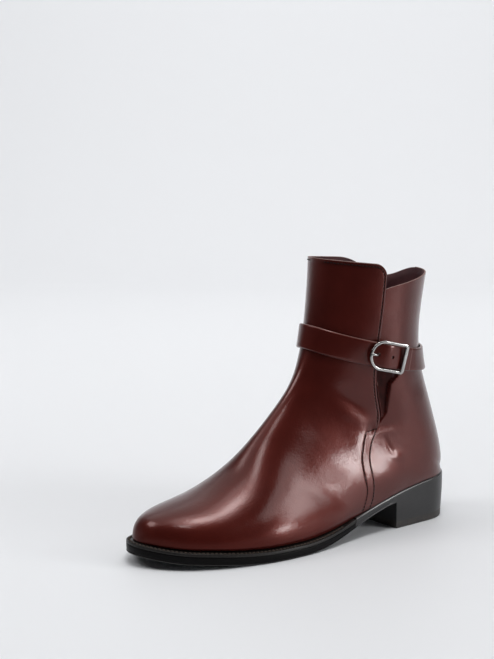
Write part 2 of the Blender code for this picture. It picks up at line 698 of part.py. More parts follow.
def make_strap(look):
    inner, outer = strap_grid()
    rows, across = inner.shape[:2]
    section = np.concatenate([inner, outer[:, ::-1]], 1)
    ring = 2 * across
    faces = tube_faces(rows, ring, False)
    for base in (0, (rows - 1) * ring):
        for i in range(across - 1):
            faces.append((base + i, base + i + 1, base + ring - 2 - i, base + ring - 1 - i))
    strap = mesh_object("ankle_strap", section.reshape(-1, 3), faces, look)
    cut(strap, cylinder_cutter("prong_hole", PRONG_HOLE, 0.0, 2.7, 1.2), "DIFFERENCE")
    return strap


def buckle_path():
    """Middle line of the D frame and the width of its wire at each point."""
    bend = np.linspace(-90, 90, 17)
    line = [(BUCKLE_REAR, -BUCKLE_RISE, BUCKLE_BAR), (BUCKLE_REAR + 4.0, -BUCKLE_RISE, BUCKLE_WIRE)]
    for angle in np.radians(bend):
        line.append((BUCKLE_BEND + BUCKLE_RISE * math.cos(angle), BUCKLE_RISE * math.sin(angle), BUCKLE_WIRE))
    line.append((BUCKLE_REAR + 4.0, BUCKLE_RISE, BUCKLE_WIRE))
    line.append((BUCKLE_REAR, BUCKLE_RISE, BUCKLE_BAR))
    return np.array(line)


def frame_height(u):
    return BUCKLE_HIGH - BUCKLE_TILT * u


def make_buckle_frame(look):
    line = buckle_path()
    plan = line[:, :2]
    tangent = np.roll(plan, -1, 0) - np.roll(plan, 1, 0)
    inward = np.stack([-tangent[:, 1], tangent[:, 0]], -1)
    inward /= np.linalg.norm(inward, axis=1, keepdims=True)
    half = 0.5 * line[:, 2:]
    high = 0.5 * BUCKLE_WIRE
    points = []
    octagon = ((-1, -0.5), (-0.5, -1), (0.5, -1), (1, -0.5), (1, 0.5), (0.5, 1), (-0.5, 1), (-1, 0.5))
    for across, up in octagon:
        spot = plan + inward * half * across
        points.append(in_buckle(spot[:, 0], spot[:, 1], frame_height(spot[:, 0]) + high * up))
    grid = np.stack(points, 1)
    frame = mesh_object("buckle_frame", grid.reshape(-1, 3), tube_faces(len(line), 8, True), look)
    cut(frame, pin_bar(), "UNION")
    return frame


def pin_bar():
    """Hidden middle bar: hangs from the two rails and passes under the strap."""
    outside, inside = BUCKLE_RISE + 0.6, STRAP_HALF + 0.45
    top, low = frame_height(0.0), 0.75
    profile = [(-outside, top), (-outside, low), (outside, low), (outside, top), (inside, top),
               (inside, low + PIN_BAR), (-inside, low + PIN_BAR), (-inside, top)]
    v, h = np.array(profile).T
    sides = [in_buckle(np.full(len(v), u), v, h) for u in (-0.5 * PIN_BAR, 0.5 * PIN_BAR)]
    faces = tube_faces(2, len(v), False)
    for base in (0, len(v)):
        for quad in ((0, 1, 6, 7), (1, 2, 5, 6), (2, 3, 4, 5)):
            faces.append(tuple(base + i for i in quad))
    look = material("pin_bar", (0.5, 0.5, 0.5), 0.3, 1.0)
    return mesh_object("pin_bar", np.concatenate(sides), faces, look)


def make_buckle_prong(look):
    """Round prong: lies under the strap, comes up through its hole and rests on the frame's curve."""
    curve = BUCKLE_BEND + BUCKLE_RISE
    rest = frame_height(curve) + 0.5 * BUCKLE_WIRE + FIT_GAP + PRONG_RADIUS
    line = np.array([(1.6, 1.5), (4.5, 1.0), (6.4, 1.05), (8.2, 2.0), (9.8, 3.6), (11.2, 4.9),
                     (13.0, rest - 0.1), (curve, rest), (curve + 1.2, rest - 0.1)])
    tangent = np.gradient(line, axis=0)
    tangent /= np.linalg.norm(tangent, axis=1, keepdims=True)
    turn = np.linspace(0, 2 * math.pi, 10, endpoint=False)
    rings = []
    for (u, h), (du, dh) in zip(line, tangent):
        lift = PRONG_RADIUS * np.sin(turn)
        rings.append(in_buckle(u - dh * lift, PRONG_RADIUS * np.cos(turn), h + du * lift))
    faces = tube_faces(len(line), 10, False)
    faces.append(tuple(range(10)))
    faces.append(tuple(10 * (len(line) - 1) + i for i in range(10)))
    return mesh_object("buckle_prong", np.concatenate(rings), faces, look)


def build():
    for thing in list(bpy.data.objects):
        bpy.data.objects.remove(thing)
    pieces = [
        make_upper(material("oxblood_calf", (0.085, 0.022, 0.018), 0.28)),
        make_insole(material("insole_leather", (0.20, 0.12, 0.10), 0.7)),
        make_outsole(material("black_sole_leather", (0.018, 0.016, 0.017), 0.42)),
        make_welt(material("black_welt_leather", (0.020, 0.016, 0.015), 0.45)),
        make_heel(material("black_heel_leather", (0.018, 0.016, 0.017), 0.4)),
        make_heel_lift(material("black_rubber", (0.022, 0.020, 0.018), 0.6)),
        make_strap(material("oxblood_strap", (0.085, 0.022, 0.018), 0.3)),
        make_buckle_frame(material("polished_steel", (0.55, 0.54, 0.53), 0.2, 1.0)),
        make_buckle_prong(material("polished_prong", (0.58, 0.57, 0.56), 0.2, 1.0))]
    spots = np.concatenate([[v.co[:] for v in piece.data.vertices] for piece in pieces])
    low, high = spots.min(0), spots.max(0)
    boot = bpy.data.objects.new("ankle_boot", None)
    bpy.context.scene.collection.objects.link(boot)
    boot.location = (-0.5 * (low[0] + high[0]), -0.5 * (low[1] + high[1]), -low[2])
    for piece in pieces:
        piece.parent = boot


build()
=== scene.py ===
"""Looks of the left ankle boot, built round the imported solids.

Shapes are worked out in millimetres: a station s runs from the back of the sole (0) to the toe, y points to
the outer side of the foot and z up from the floor. They become metres in the frame when a mesh is made.
"""
import math

import bmesh
import bpy
import numpy as np
from mathutils import Matrix, Vector


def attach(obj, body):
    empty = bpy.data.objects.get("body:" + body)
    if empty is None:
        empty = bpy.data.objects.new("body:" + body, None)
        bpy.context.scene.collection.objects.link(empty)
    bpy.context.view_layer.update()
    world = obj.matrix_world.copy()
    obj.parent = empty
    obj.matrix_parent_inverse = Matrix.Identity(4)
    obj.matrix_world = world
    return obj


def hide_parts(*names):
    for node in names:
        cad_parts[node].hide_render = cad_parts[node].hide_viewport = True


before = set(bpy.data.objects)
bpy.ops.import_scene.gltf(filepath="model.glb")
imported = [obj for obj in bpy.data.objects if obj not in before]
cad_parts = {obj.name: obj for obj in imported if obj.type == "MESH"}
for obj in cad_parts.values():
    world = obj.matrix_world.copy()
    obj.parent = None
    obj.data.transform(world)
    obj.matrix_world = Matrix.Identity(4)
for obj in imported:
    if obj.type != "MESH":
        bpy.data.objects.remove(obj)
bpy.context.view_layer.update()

MM = 0.001
ORIGIN = np.array([133.387, -1.837, 0.0])   # the frame's origin in the boot's own stations
FIT_GAP = 0.3

# Upper: wall, lap, collar
WALL = 2.2
LEAST_WALL = 1.1         # thickness that is left under a groove
PANEL_STEP = 1.1
STEP_FADE = 26.0
SEAM_STEP = 0.35         # share of the step that is left below the closed end of the lap
SEAM_STEP_FADE = 6.0
LAP_WIDTH = 0.3
COLLAR_FRONT = 201.0
COLLAR_FALL = 0.115
COLLAR_CORNER = 9.0
COLLAR_NOTCH = 178.8
COLLAR_REAR = 187.5
COLLAR_BLEND = 0.62
NOSE_ROWS = 1.45
PATCH_LENGTH = 330.0     # length of a row of the surface from back to front, about
UPPER_ROWS = 150
REAR_COLUMNS = 110
FORE_COLUMNS = 220
MEDIAL_COLUMNS = 120
LINING_ROWS = 28
RIM_ROWS = 3
RIM_SKIVE = 1.0          # the collar's edge is pared thinner by this much
RIM_DEEP = 6.0
RIM_CROWN = 0.35         # rise of the rim's middle
EDGE_ROLL = 0.5          # the panel's cut edge is rounded by this much
EDGE_ROLL_WIDTH = 1.3
LEATHER, RIM, LINING, FOLD_SHADE = range(4)    # order of the upper's materials

# Folded gusset behind the lap, below the strap
GUSSET_EDGE = 1.2        # width of the fold that closes it
GUSSET_HEIGHTS = (79.0, 4.0, 134.0, 10.0)    # lower end and its fade, upper end and its fade
PLEAT_RISE = 1.2         # pleat that stands in it
PLEAT_BACK = 2.4         # distance of that pleat behind the lap
PLEAT_WIDTH = 0.9
PLEAT_CREST = 0.6        # half width that keeps the polished leather, outside the painted shade
PLEAT_HEIGHTS = (83.0, 5.0, 112.0, 5.0)

# Stitching
STITCH_INSET = 1.9       # distance of the stitch row from the panel's edge
STITCH_PITCH = 2.5
STITCH_LENGTH = 2.0
STITCH_RADIUS = 0.34
STITCH_SLANT = 0.25
STITCH_RINGS = 7
STITCH_SIDES = 8
SEAM_GROOVE = 0.55       # half width of the line that the stitches press into the leather
SEAM_DEEP = 0.22
WELT_PITCH = 3.0
WELT_STITCH = 0.84       # share of the pitch that a stitch covers
WELT_STITCH_RADIUS = 0.55
WELT_STITCH_SLANT = 0.7

# Sole, heel, insole
LOWER_EDGE = ((-1.0, 0.0), (-0.45, 0.12), (-0.1, 0.45), (0.0, 0.85), (-0.12, 1.2), (-0.34, 1.4),
              (-0.28, 1.75), (-0.12, 2.3))    # offset from the edge and height over the underside
UPPER_EDGE = ((0.0, 1.1), (-0.14, 0.5), (-0.42, 0.14), (-0.8, 0.0))    # offset and drop below the top
FORE_EDGE, REAR_EDGE, BEAD = range(3)    # order of the sole's materials
LOWER_BEAD_ROWS = range(1, 3)
UPPER_BEAD_ROWS = range(11, 14)
WELT_THICK = 3.0
WELT_INSIDE = 6.0
WELT_END = 106.0
WELT_CUT = 0.4
WELT_GROOVE = 2.0        # distance of the stitch groove from the welt's edge
WELT_FREE = 11.0         # length without stitches at each end of the welt
WELT_PROFILE = ((0.0, -3.0), (0.02, -1.6), (-0.12, -1.15), (-0.45, -0.95), (-0.8, -1.1), (-1.15, -1.4),
                (-1.6, -1.5), (-WELT_GROOVE, -1.5), (-2.6, -1.35), (-3.2, -0.9))
WELT_WHEELED = (-2.7, -1.0)    # part of the welt that is marked between the stitches
WHEEL_RISE = 0.5
WELT_POINTS = 1400
INSOLE_THICK = 2.6
INSOLE_EDGE = WALL + 1.0
INSOLE_SKIVE = 1.2
HEEL_BREAST = 64.0
BREAST_CLEAR = 1.9       # no other point of the plan is closer to the breast than this
BEAD_START = HEEL_BREAST + 2.0    # the sole's lower edge has no bead where the heel joins
BEAD_FADE = 8.0
FORE_CROWN = 0.4         # size of the upper edge's rounding under the welt
HEEL_TAPER = 1.2
HEEL_TAPER_HIGH = 20.0   # height up to which the heel widens
LIFT_THICK = 5.5
LIFT_BEVEL = 0.6
LOOP_POINTS = 420

# Ankle strap
STRAP_HALF = 8.5
STRAP_THICK = 1.8
STRAP_OFF = 0.9
STRAP_SKIVE = 1.1
STRAP_START = 95.0
STRAP_END = 473.0
STRAP_TAIL = 425.0       # angle where the tail begins, with columns closer together
STRAP_COLUMNS = 340
TAIL_COLUMNS = 180
TAIL_SLANT = (440.0, 30.0, 0.2)    # angle where the tail's slant begins, its fade and its strength
SKIVE_ANGLES = (108.0, 122.0)      # the strap's hidden end grows to full thickness between them
STRAP_EDGE = 0.7         # width over which the strap's edges are rounded
STRAP_ROUND = 0.42       # share of the thickness that the rounding takes off
STRAP_CROWN = 0.12       # rise of the strap's middle
STRAP_CURL = 0.15        # rise of its underside at the edges
PRONG_HOLE = 8.9
SPARE_HOLE = -2.6        # second hole, between bar and prong
HOLE_RADIUS = 1.3
HOLE_DEEP = 1.2

# Buckle
BUCKLE_ANGLE = 90.0
BUCKLE_REAR = -12.4
BUCKLE_BEND = 6.0
BUCKLE_RISE = 10.0
BUCKLE_HIGH = 4.7
BUCKLE_TILT = 0.05
BUCKLE_WIRE = 2.0
BUCKLE_BAR = 3.2
PIN_BAR = 1.9
PIN_BAR_SHRINK = 0.42    # radius of the visible bar as a share of the bar's width
PRONG_RADIUS = 0.95
PRONG_RINGS = 60
FRAME_SIDES = 20
FRAME_CORNER = 0.4       # exponent of the wire's section: below 1 it is squarer than round

# Colours, linear
OXBLOOD_DEEP = (0.039, 0.0046, 0.0033)
OXBLOOD = (0.051, 0.0063, 0.0044)
OXBLOOD_BRIGHT = (0.064, 0.0087, 0.0059)
OXBLOOD_SHEEN = (1.0, 0.26, 0.21)
SEAM_SHADE = (0.006, 0.0015, 0.0012)
# Paler colour of the leather's cut edges, partly a painted highlight: the collar's rim and only the top
# edge of the strap take it
CUT_EDGE_AND_HIGHLIGHT = (0.24, 0.130, 0.112)
BLACK_LEATHERS = {       # dark and light, range of roughness, stretch of the fibres, shine
    # The forefoot's edge is a darker, duller copy of the black edge finish: painted shade standing in for
    # the shadow under the toe
    "fore_edge_painted_shade": ((0.003, 0.0026, 0.0028), (0.006, 0.0052, 0.0054), (0.32, 0.42), 4, 0.07),
    "heel_stack": ((0.006, 0.0052, 0.0056), (0.012, 0.011, 0.012), (0.28, 0.40), 5, 0.5),
    # The bead's paler grey is a painted highlight along the top edge of the waist and heel; its gloss is
    # the bead's own
    "bead_painted_highlight": ((0.030, 0.027, 0.028), (0.050, 0.046, 0.047), (0.20, 0.28), 1, 0.9),
    "welt_top": ((0.005, 0.0038, 0.0034), (0.012, 0.009, 0.0075), (0.34, 0.48), 1, 0.3)}
DARK_THREAD = (0.018, 0.004, 0.0035)
WELT_THREAD = (0.080, 0.060, 0.048)
POLISH = 0.6             # weight of the polish over the leather
POLISH_DULL = 0.06       # and along the welt
DULL_REACH = 12.0        # height over the welt up to which the polish is thin
DULL_FADE = 40.0         # length of its fade behind the forefoot
BURNISH_SOLE = 0.5       # shares of the darker polish: along the sole, at the toe, at the heel
BURNISH_TOE = 0.35
BURNISH_HEEL = 0.25
BURNISH_REACH = 7.0      # its height along the sole
FLOOR_COLOUR = (0.765, 0.775, 0.795)
WORLD_COLOUR = (0.93, 0.96, 1.0)
WORLD_STRENGTH = 0.04

# Studio in metres, as the camera sees it
BEHIND = Vector((-0.60, -0.80, 0.0))     # from the camera past the boot
RIGHT = Vector((-0.80, 0.60, 0.0))       # to the camera's right
FLOOR_FRONT = -0.45
FLOOR_FLAT = 1.4         # where the floor begins to curve up into the backdrop
FLOOR_CURVE = 1.0
FLOOR_HALF = 4.0
BACKDROP_HIGH = 3.2

# Camera, fitted to the photograph
CAMERA_PLACE = (0.7004, 0.8718, 0.3310)
CAMERA_TURN = (80.856, 0.0, 142.954)
CAMERA_LENS = 87.0
SENSOR = 36.0

# A row for each section through the last, from above the collar to the toe
SECTION_COLUMNS = ("front_s", "front_z", "back_s", "back_z", "lateral", "medial",
                   "feather_lateral", "feather_medial", "axis_y", "widest", "front_round", "back_round")
SECTIONS = np.array([
    (115.5, 216.0, 15.5, 212.0, 35.9, 35.9, 28.6, 28.2, 0.0, 0.52, 2.00, 2.0),    # above the collar
    (116.0, 196.0, 17.7, 192.0, 34.9, 34.9, 28.6, 28.2, 0.0, 0.52, 2.00, 2.0),    # collar
    (117.4, 178.0, 21.8, 168.2, 33.8, 33.8, 28.6, 28.2, 0.0, 0.53, 2.00, 2.0),    # shaft
    (119.6, 160.0, 24.8, 143.7, 33.2, 33.2, 28.6, 28.2, 0.0, 0.55, 2.00, 2.0),    # strap
    (123.3, 143.1, 22.6, 118.4, 32.7, 32.7, 28.6, 28.2, 0.0, 0.58, 1.95, 2.0),    # ankle
    (127.7, 130.1, 14.6, 93.7, 32.4, 32.4, 28.6, 28.2, 0.0, 0.62, 1.90, 2.0),     # high instep
    (132.8, 119.1, 5.8, 68.2, 32.3, 32.3, 28.6, 28.2, 0.0, 0.66, 1.85, 2.0),      # instep
    (137.3, 112.0, 0.5, 48.0, 32.2, 32.2, 28.6, 28.2, 0.0, 0.70, 1.85, 2.0),      # counter
    (141.3, 106.9, 1.5, 34.6, 32.3, 32.3, 28.6, 28.2, 0.0, 0.73, 1.85, 2.0),      # heel corner
    (145.0, 102.7, 9.0, 34.1, 32.2, 32.2, 28.6, 28.2, 0.0, 0.76, 1.85, 2.0),      # back of the seat
    (150.2, 97.3, 25.0, 32.7, 32.1, 31.9, 29.0, 28.2, 0.0, 0.80, 1.85, 2.1),      # heel seat
    (159.0, 88.7, 60.0, 27.7, 32.7, 30.7, 31.2, 27.5, 0.0, 0.84, 1.85, 2.2),      # heel breast
    (170.6, 77.5, 102.0, 17.0, 35.4, 30.9, 33.5, 25.5, -0.5, 0.88, 1.85, 2.3),    # waist
    (183.0, 65.3, 145.0, 9.8, 41.1, 36.1, 39.5, 33.0, -1.5, 0.91, 1.85, 2.4),     # rear of the tread
    (197.2, 53.0, 182.0, 9.1, 44.1, 39.6, 42.3, 38.0, -4.0, 0.92, 1.90, 2.4),     # ball
    (215.5, 43.6, 210.0, 10.7, 41.4, 37.5, 39.4, 36.4, -6.5, 0.92, 2.00, 2.4),    # vamp
    (234.0, 38.6, 233.0, 12.7, 38.2, 34.8, 36.0, 33.6, -8.5, 0.92, 2.10, 2.4),    # toe box
    (249.0, 34.2, 249.0, 13.7, 34.8, 32.6, 33.0, 31.6, -10.0, 0.92, 2.20, 2.4),   # toe cap
    (258.4, 28.0, 258.4, 15.4, 30.6, 29.0, 29.2, 28.2, -11.0, 0.92, 2.20, 2.4),   # nose
    (262.5, 16.6, 262.5, 16.5, 28.0, 27.0, 27.0, 26.4, -11.5, 0.92, 2.20, 2.4)])  # tip
COLUMN = {name: i for i, name in enumerate(SECTION_COLUMNS)}
CORNER_ROW = 8
HEEL_ROUND = (30.0, 2.3)
TOE_ROUND = (205.0, 2.2)

# A row for each station of the sole: station, underside, thickness, ledge outside the upper on either side
SOLE = np.array([
    (-4.0, 28.8, 6.4, 0.9, 0.9),
    (30.0, 25.8, 6.4, 0.9, 0.9),
    (62.0, 20.9, 6.4, 0.9, 0.9),
    (90.0, 13.6, 6.6, 1.2, 0.9),
    (115.0, 6.4, 7.9, 3.0, 1.7),
    (140.0, 1.4, 9.0, 4.5, 3.2),
    (160.0, -0.1, 9.3, 4.8, 4.2),
    (182.0, -0.1, 9.3, 4.8, 4.4),
    (205.0, 0.8, 9.4, 4.8, 4.5),
    (228.0, 2.8, 9.5, 4.7, 4.6),
    (249.0, 4.6, 9.6, 4.5, 4.5),
    (270.0, 8.4, 9.6, 4.4, 4.4)])

# Lap between front panel and rear quarter, from the collar to the sole: height and station
LAP = np.array([
    (210.0, 77.4), (182.0, 77.7), (157.0, 80.0), (120.0, 83.2), (98.0, 80.8), (82.0, 78.8),
    (74.0, 82.0), (64.7, 86.4), (54.0, 88.3), (39.4, 86.5), (28.0, 87.2), (16.0, 91.0)])

# Front row of the double seam below the lap: height and station
SEAM_AHEAD = np.array([
    (75.4, 90.5), (70.5, 92.6), (63.5, 94.7), (58.0, 96.0), (52.3, 96.0), (44.9, 95.1), (37.7, 93.8),
    (33.1, 93.4), (27.5, 94.9), (18.0, 98.2)])
SEAM_TOP = 79.0          # height where the lap's stitch row closes into the double seam
SEAM_FOOT = 17.2         # and where the double seam runs into the sole
SEAM_INSET = 0.9         # distance of its rear row from the lap

# Fold of the rear quarter that bounds the gusset: height, station and depth of the gusset
GUSSET = np.array([
    (122.0, 58.0, 3.4), (116.0, 63.8, 3.6), (109.5, 70.6, 3.2), (97.7, 71.8, 2.6), (88.6, 72.6, 1.7),
    (83.0, 76.9, 0.8), (80.0, 79.4, 0.0)])

# Collar on the inner side of the foot: share of the way from back to front, and height
MEDIAL_COLLAR = np.array([
    (0.0, 187.5), (0.05, 183.2), (0.12, 180.4), (0.20, 182.8), (0.29, 188.4), (0.38, 193.0),
    (0.52, 195.6), (0.75, 197.8), (1.0, 201.0)])

# Middle height of the strap: angle round the ankle, height
STRAP_LINE = np.array([
    (-45.0, 141.4), (0.0, 145.0), (45.0, 139.6), (90.0, 130.8), (135.0, 123.6), (180.0, 124.8),
    (225.0, 129.6), (270.0, 135.0), (315.0, 141.4), (360.0, 145.0), (405.0, 139.6)])

# Air under the strap: angle along the strap, distance
STRAP_LIFT = np.array([
    (95.0, 0.5), (112.0, 0.6), (135.0, STRAP_OFF), (180.0, 1.4), (270.0, 1.1), (360.0, STRAP_OFF),
    (415.0, 0.7), (430.0, 0.7), (436.0, 0.9), (441.0, 1.7), (447.0, 2.9), (453.0, 3.0), (458.0, 2.5),
    (464.0, 2.2), (473.0, 2.2)])

# Soft folds of the leather: side, start and end in the side view (s, z), half width, rise
CREASE_COLUMNS = ("side", "from_s", "from_z", "to_s", "to_z", "width", "rise")
CREASES = np.array([
    (1, 84.0, 78.0, 122.0, 102.0, 6.0, 0.80),     # pull from the closed end of the lap to the instep
    (1, 86.0, 86.0, 118.0, 114.0, 6.5, -0.75),
    (1, 90.0, 75.5, 106.0, 78.0, 1.5, -0.06),     # small puckers at the double seam
    (1, 93.0, 71.0, 110.0, 70.0, 1.5, -0.06),
    (1, 95.0, 66.0, 109.0, 61.0, 1.5, -0.05),
    (1, 90.0, 50.0, 140.0, 58.0, 10.0, -0.45),    # side of the vamp behind the ball
    (1, 94.0, 19.0, 162.0, 51.5, 7.5, -0.48),
    (1, 96.0, 90.0, 99.0, 52.0, 9.0, 0.60),       # double seam
    (1, 98.0, 44.0, 46.0, 40.0, 12.0, 1.20),      # rear quarter over the sole
    (1, 77.0, 74.0, 65.0, 53.0, 1.9, -0.30),
    (1, 73.0, 57.0, 54.0, 52.0, 3.4, 0.50),
    (1, 60.0, 112.0, 32.0, 98.0, 7.0, -0.35),
    (-1, 92.0, 76.0, 124.0, 104.0, 8.0, -0.45),
    (-1, 104.0, 60.0, 150.0, 44.0, 8.0, -0.35),
    (-1, 60.0, 110.0, 30.0, 96.0, 8.0, -0.35)])
PINCH = (85.5, 77.6, 3.4, -0.8)   # dimple at the top of the double seam: s, z, radius, rise


def natural_spline(knots, values):
    """Smooth curve through rows of values at the knots."""
    count = len(knots)
    step = np.diff(knots)
    slope = np.diff(values, axis=0) / step[:, None]
    system = np.eye(count)
    right = np.zeros_like(values)
    for i in range(1, count - 1):
        system[i, i - 1:i + 2] = step[i - 1], 2 * (step[i - 1] + step[i]), step[i]
        right[i] = 6 * (slope[i] - slope[i - 1])
    bend = np.linalg.solve(system, right)

    def at(t):
        t = np.clip(np.asarray(t, float), knots[0], knots[-1])
        k = np.clip(np.searchsorted(knots, t) - 1, 0, count - 2)
        b = ((t - knots[k]) / step[k])[..., None]
        a = 1 - b
        sixth = (step[k] ** 2 / 6)[..., None]
        cubic = ((a ** 3 - a) * bend[k] + (b ** 3 - b) * bend[k + 1]) * sixth
        return a * values[k] + b * values[k + 1] + cubic
    return at


def arc_length(points):
    """Running length along a row of points."""
    steps = np.linalg.norm(np.diff(points, axis=0), axis=1)
    return np.concatenate([[0.0], np.cumsum(steps)])


def along(points, lengths, values=None):
    """Points at given lengths along a row of points, or values that belong to the points."""
    arc = arc_length(points)
    columns = points.T if values is None else values.T
    return np.stack([np.interp(lengths, arc, column) for column in columns], -1)


def unit(vectors):
    """Vectors brought to length 1."""
    return vectors / (np.linalg.norm(vectors, axis=-1, keepdims=True) + 1e-12)


def left_of(tangent):
    """Unit vectors to the left of tangents in a plane."""
    return unit(np.stack([-tangent[:, 1], tangent[:, 0]], -1))


def loop_tangent(loop):
    """Directions along a closed loop of points."""
    return np.roll(loop, -1, 0) - np.roll(loop, 1, 0)


def circle(count):
    """Angles once round."""
    return np.linspace(0, 2 * math.pi, count, endpoint=False)


def smooth_step(x):
    """0 below 0, 1 above 1 and smooth between."""
    x = np.clip(x, 0, 1)
    return x * x * (3 - 2 * x)


def between(x, start, start_fade, end, end_fade):
    """1 between two places, fading to 0 at both."""
    return smooth_step((x - start) / start_fade) * smooth_step((end - x) / end_fade)


def curve(table):
    """Smooth function through a table of two columns, of which the first rises or falls."""
    sign = 1.0 if table[-1, 0] > table[0, 0] else -1.0
    at = natural_spline(sign * table[:, 0], table[:, 1:])
    return lambda x: at(sign * np.asarray(x, float))[..., 0]


sole_row = natural_spline(SOLE[:, 0], SOLE[:, 1:])
lap_station = curve(LAP)
seam_ahead = curve(SEAM_AHEAD)
medial_collar = curve(MEDIAL_COLLAR)
strap_line = curve(STRAP_LINE)
strap_lift = curve(STRAP_LIFT)


def sole_under(s):
    """Height of the sole's underside; the tread is flat on the floor."""
    return np.maximum(sole_row(s)[..., 0], 0.0)


def feather_height(s):
    """Height at which the upper meets the sole."""
    return sole_under(s) + sole_row(s)[..., 1]


def section_table():
    """The sections with their lower ends set on the sole."""
    table = SECTIONS.copy()
    table[CORNER_ROW:, COLUMN["back_z"]] = feather_height(table[CORNER_ROW:, COLUMN["back_s"]])
    table[-1, COLUMN["front_z"]] = table[-1, COLUMN["back_z"]] + 0.1
    return table


TABLE = section_table()
KNOTS = 0.5 * (arc_length(TABLE[:, 0:2]) + arc_length(TABLE[:, 2:4]))
section_at = natural_spline(KNOTS, TABLE)
T_CORNER = KNOTS[CORNER_ROW]
T_TIP = KNOTS[-1]
BACK_LINE = section_at(np.linspace(T_CORNER, 0.0, 900))[:, 2:4]
FRONT_LINE = section_at(np.linspace(T_TIP, 0.0, 2400))[:, 0:2]


def back_station(z):
    """Station of the upper's back at a height."""
    return np.interp(z, BACK_LINE[:, 1], BACK_LINE[:, 0])


def front_station(z):
    """Station of the upper's front at a height."""
    return np.interp(z, FRONT_LINE[:, 1], FRONT_LINE[:, 0])


COLLAR_BACK = back_station(190.0)     # stations of the collar's back, its front and the lap's upper end
COLLAR_SHIN = front_station(200.0)
LAP_TOP = lap_station(185.0)


def section_through(s, z):
    """Place along the last of the section that passes through a point of the side view."""
    low = np.zeros_like(s)
    high = np.full_like(s, T_TIP)
    for _ in range(32):
        middle = 0.5 * (low + high)
        front_s, front_z, back_s, back_z = np.moveaxis(section_at(middle)[..., :4], -1, 0)
        across = (front_s - back_s) * (z - back_z) - (front_z - back_z) * (s - back_s)
        high = np.where(across > 0, middle, high)
        low = np.where(across > 0, low, middle)
    return 0.5 * (low + high)


def end_rounding(s):
    """Factors by which the foot's plan narrows into the heel and into the toe."""
    start, fullness = HEEL_ROUND
    back = np.clip((start - s) / (start - TABLE[CORNER_ROW, COLUMN["back_s"]]), 0, 1)
    heel = (1 - back ** fullness) ** (1 / fullness)
    start, fullness = TOE_ROUND
    ahead = np.clip((s - start) / (TABLE[-1, COLUMN["back_s"]] - start), 0, 1)
    return heel, (1 - ahead ** fullness) ** (1 / fullness)


def side_column(side, name):
    """Column of the section table for one side of the foot."""
    return COLUMN[name + ("lateral" if side > 0 else "medial")]


def surface_y(s, z, side):
    """y of the last's surface at a point of the side view, on one side of the foot."""
    t = section_through(s, z)
    row = section_at(t)
    span = np.hypot(row[..., 2] - row[..., 0], row[..., 3] - row[..., 1]) + 1e-9
    depth = np.clip(np.hypot(s - row[..., 0], z - row[..., 1]) / span, 0, 1)
    heel, toe = end_rounding(row[..., COLUMN["back_s"]])
    wide = row[..., side_column(side, "")] * toe
    feather = np.where(t <= T_CORNER, 0, row[..., side_column(side, "feather_")] * heel * toe)
    feather = np.clip(feather, 0, wide)
    widest = row[..., COLUMN["widest"]]
    front_n = row[..., COLUMN["front_round"]]
    back_n = row[..., COLUMN["back_round"]]
    rise = np.clip(1 - depth / widest, 0, 1)
    front = wide * (1 - rise ** front_n) ** (1 / front_n)
    fall = np.clip((depth - widest) / (1 - widest), 0, 1)
    back = np.maximum(wide ** back_n - (wide ** back_n - feather ** back_n) * fall ** back_n, 0)
    half = np.where(depth < widest, front, back ** (1 / back_n))
    return row[..., COLUMN["axis_y"]] + side * half


def feather_side(side):
    """Line where the upper meets the sole on one side, heel to toe: s, y, z."""
    turn = np.linspace(0, 2 * math.pi, 2400)
    share = (turn - 0.97 * np.sin(turn)) / (2 * math.pi)     # closer together at heel and toe
    row = section_at(T_CORNER + (T_TIP - T_CORNER) * share)
    heel, toe = end_rounding(row[:, COLUMN["back_s"]])
    half = row[:, side_column(side, "feather_")] * heel * toe
    y = row[:, COLUMN["axis_y"]] + side * half
    return np.stack([row[:, 2], y, feather_height(row[:, 2])], -1)


def side_patch(side):
    """Function from (u, v) to the side view: u runs back to front, v from the sole to above the collar."""
    share = np.linspace(0, 1, 800)
    feather = feather_side(side)
    bottom = along(feather, share * arc_length(feather)[-1])[:, [0, 2]]
    blend = 0.5 * (1 - np.cos(math.pi * share))
    top_z = COLLAR_REAR + 2 + (COLLAR_FRONT - COLLAR_REAR) * blend
    top_s = back_station(top_z) + (front_station(top_z) - back_station(top_z)) * blend
    top = np.stack([top_s, top_z], -1)
    bottom_blend = (bottom[:, 0] - bottom[0, 0]) / (bottom[-1, 0] - bottom[0, 0])
    back_top = np.interp(top[0, 1], BACK_LINE[:, 1], arc_length(BACK_LINE))
    front_top = np.interp(top[-1, 1], FRONT_LINE[:, 1], arc_length(FRONT_LINE))

    def pick(values, u):
        return np.interp(u, share, values)

    def at(u, v):
        low = np.stack([pick(bottom[:, i], u) for i in (0, 1)], -1)
        high = np.stack([pick(top[:, i], u) for i in (0, 1)], -1)
        back = along(BACK_LINE, v * back_top)
        front = along(FRONT_LINE, v ** NOSE_ROWS * front_top)
        w = ((1 - v) * pick(bottom_blend, u) + v * pick(blend, u))[..., None]
        v = v[..., None]
        corners = ((1 - w) * (1 - v) * bottom[0] + w * (1 - v) * bottom[-1]
                   + (1 - w) * v * top[0] + w * v * top[-1])
        return (1 - v) * low + v * high + (1 - w) * back + w * front - corners
    return at


def collar_height(side, s, ahead):
    """Height of the collar at a station; the lateral side is cut by the lap."""
    if side < 0:
        return medial_collar(np.clip((s - COLLAR_BACK) / (COLLAR_SHIN - COLLAR_BACK), 0, 1))
    from_edge = np.clip(COLLAR_CORNER - (s - LAP_TOP), 0, COLLAR_CORNER)
    corner = COLLAR_CORNER - np.sqrt(COLLAR_CORNER ** 2 - from_edge ** 2)
    panel = COLLAR_FRONT - COLLAR_FALL * (COLLAR_SHIN - s) - corner
    back = np.clip((LAP_TOP - s) / (LAP_TOP - COLLAR_BACK), 0, 1)
    quarter = COLLAR_NOTCH + (COLLAR_REAR - COLLAR_NOTCH) * back ** 0.8
    return np.where(ahead, panel, quarter)


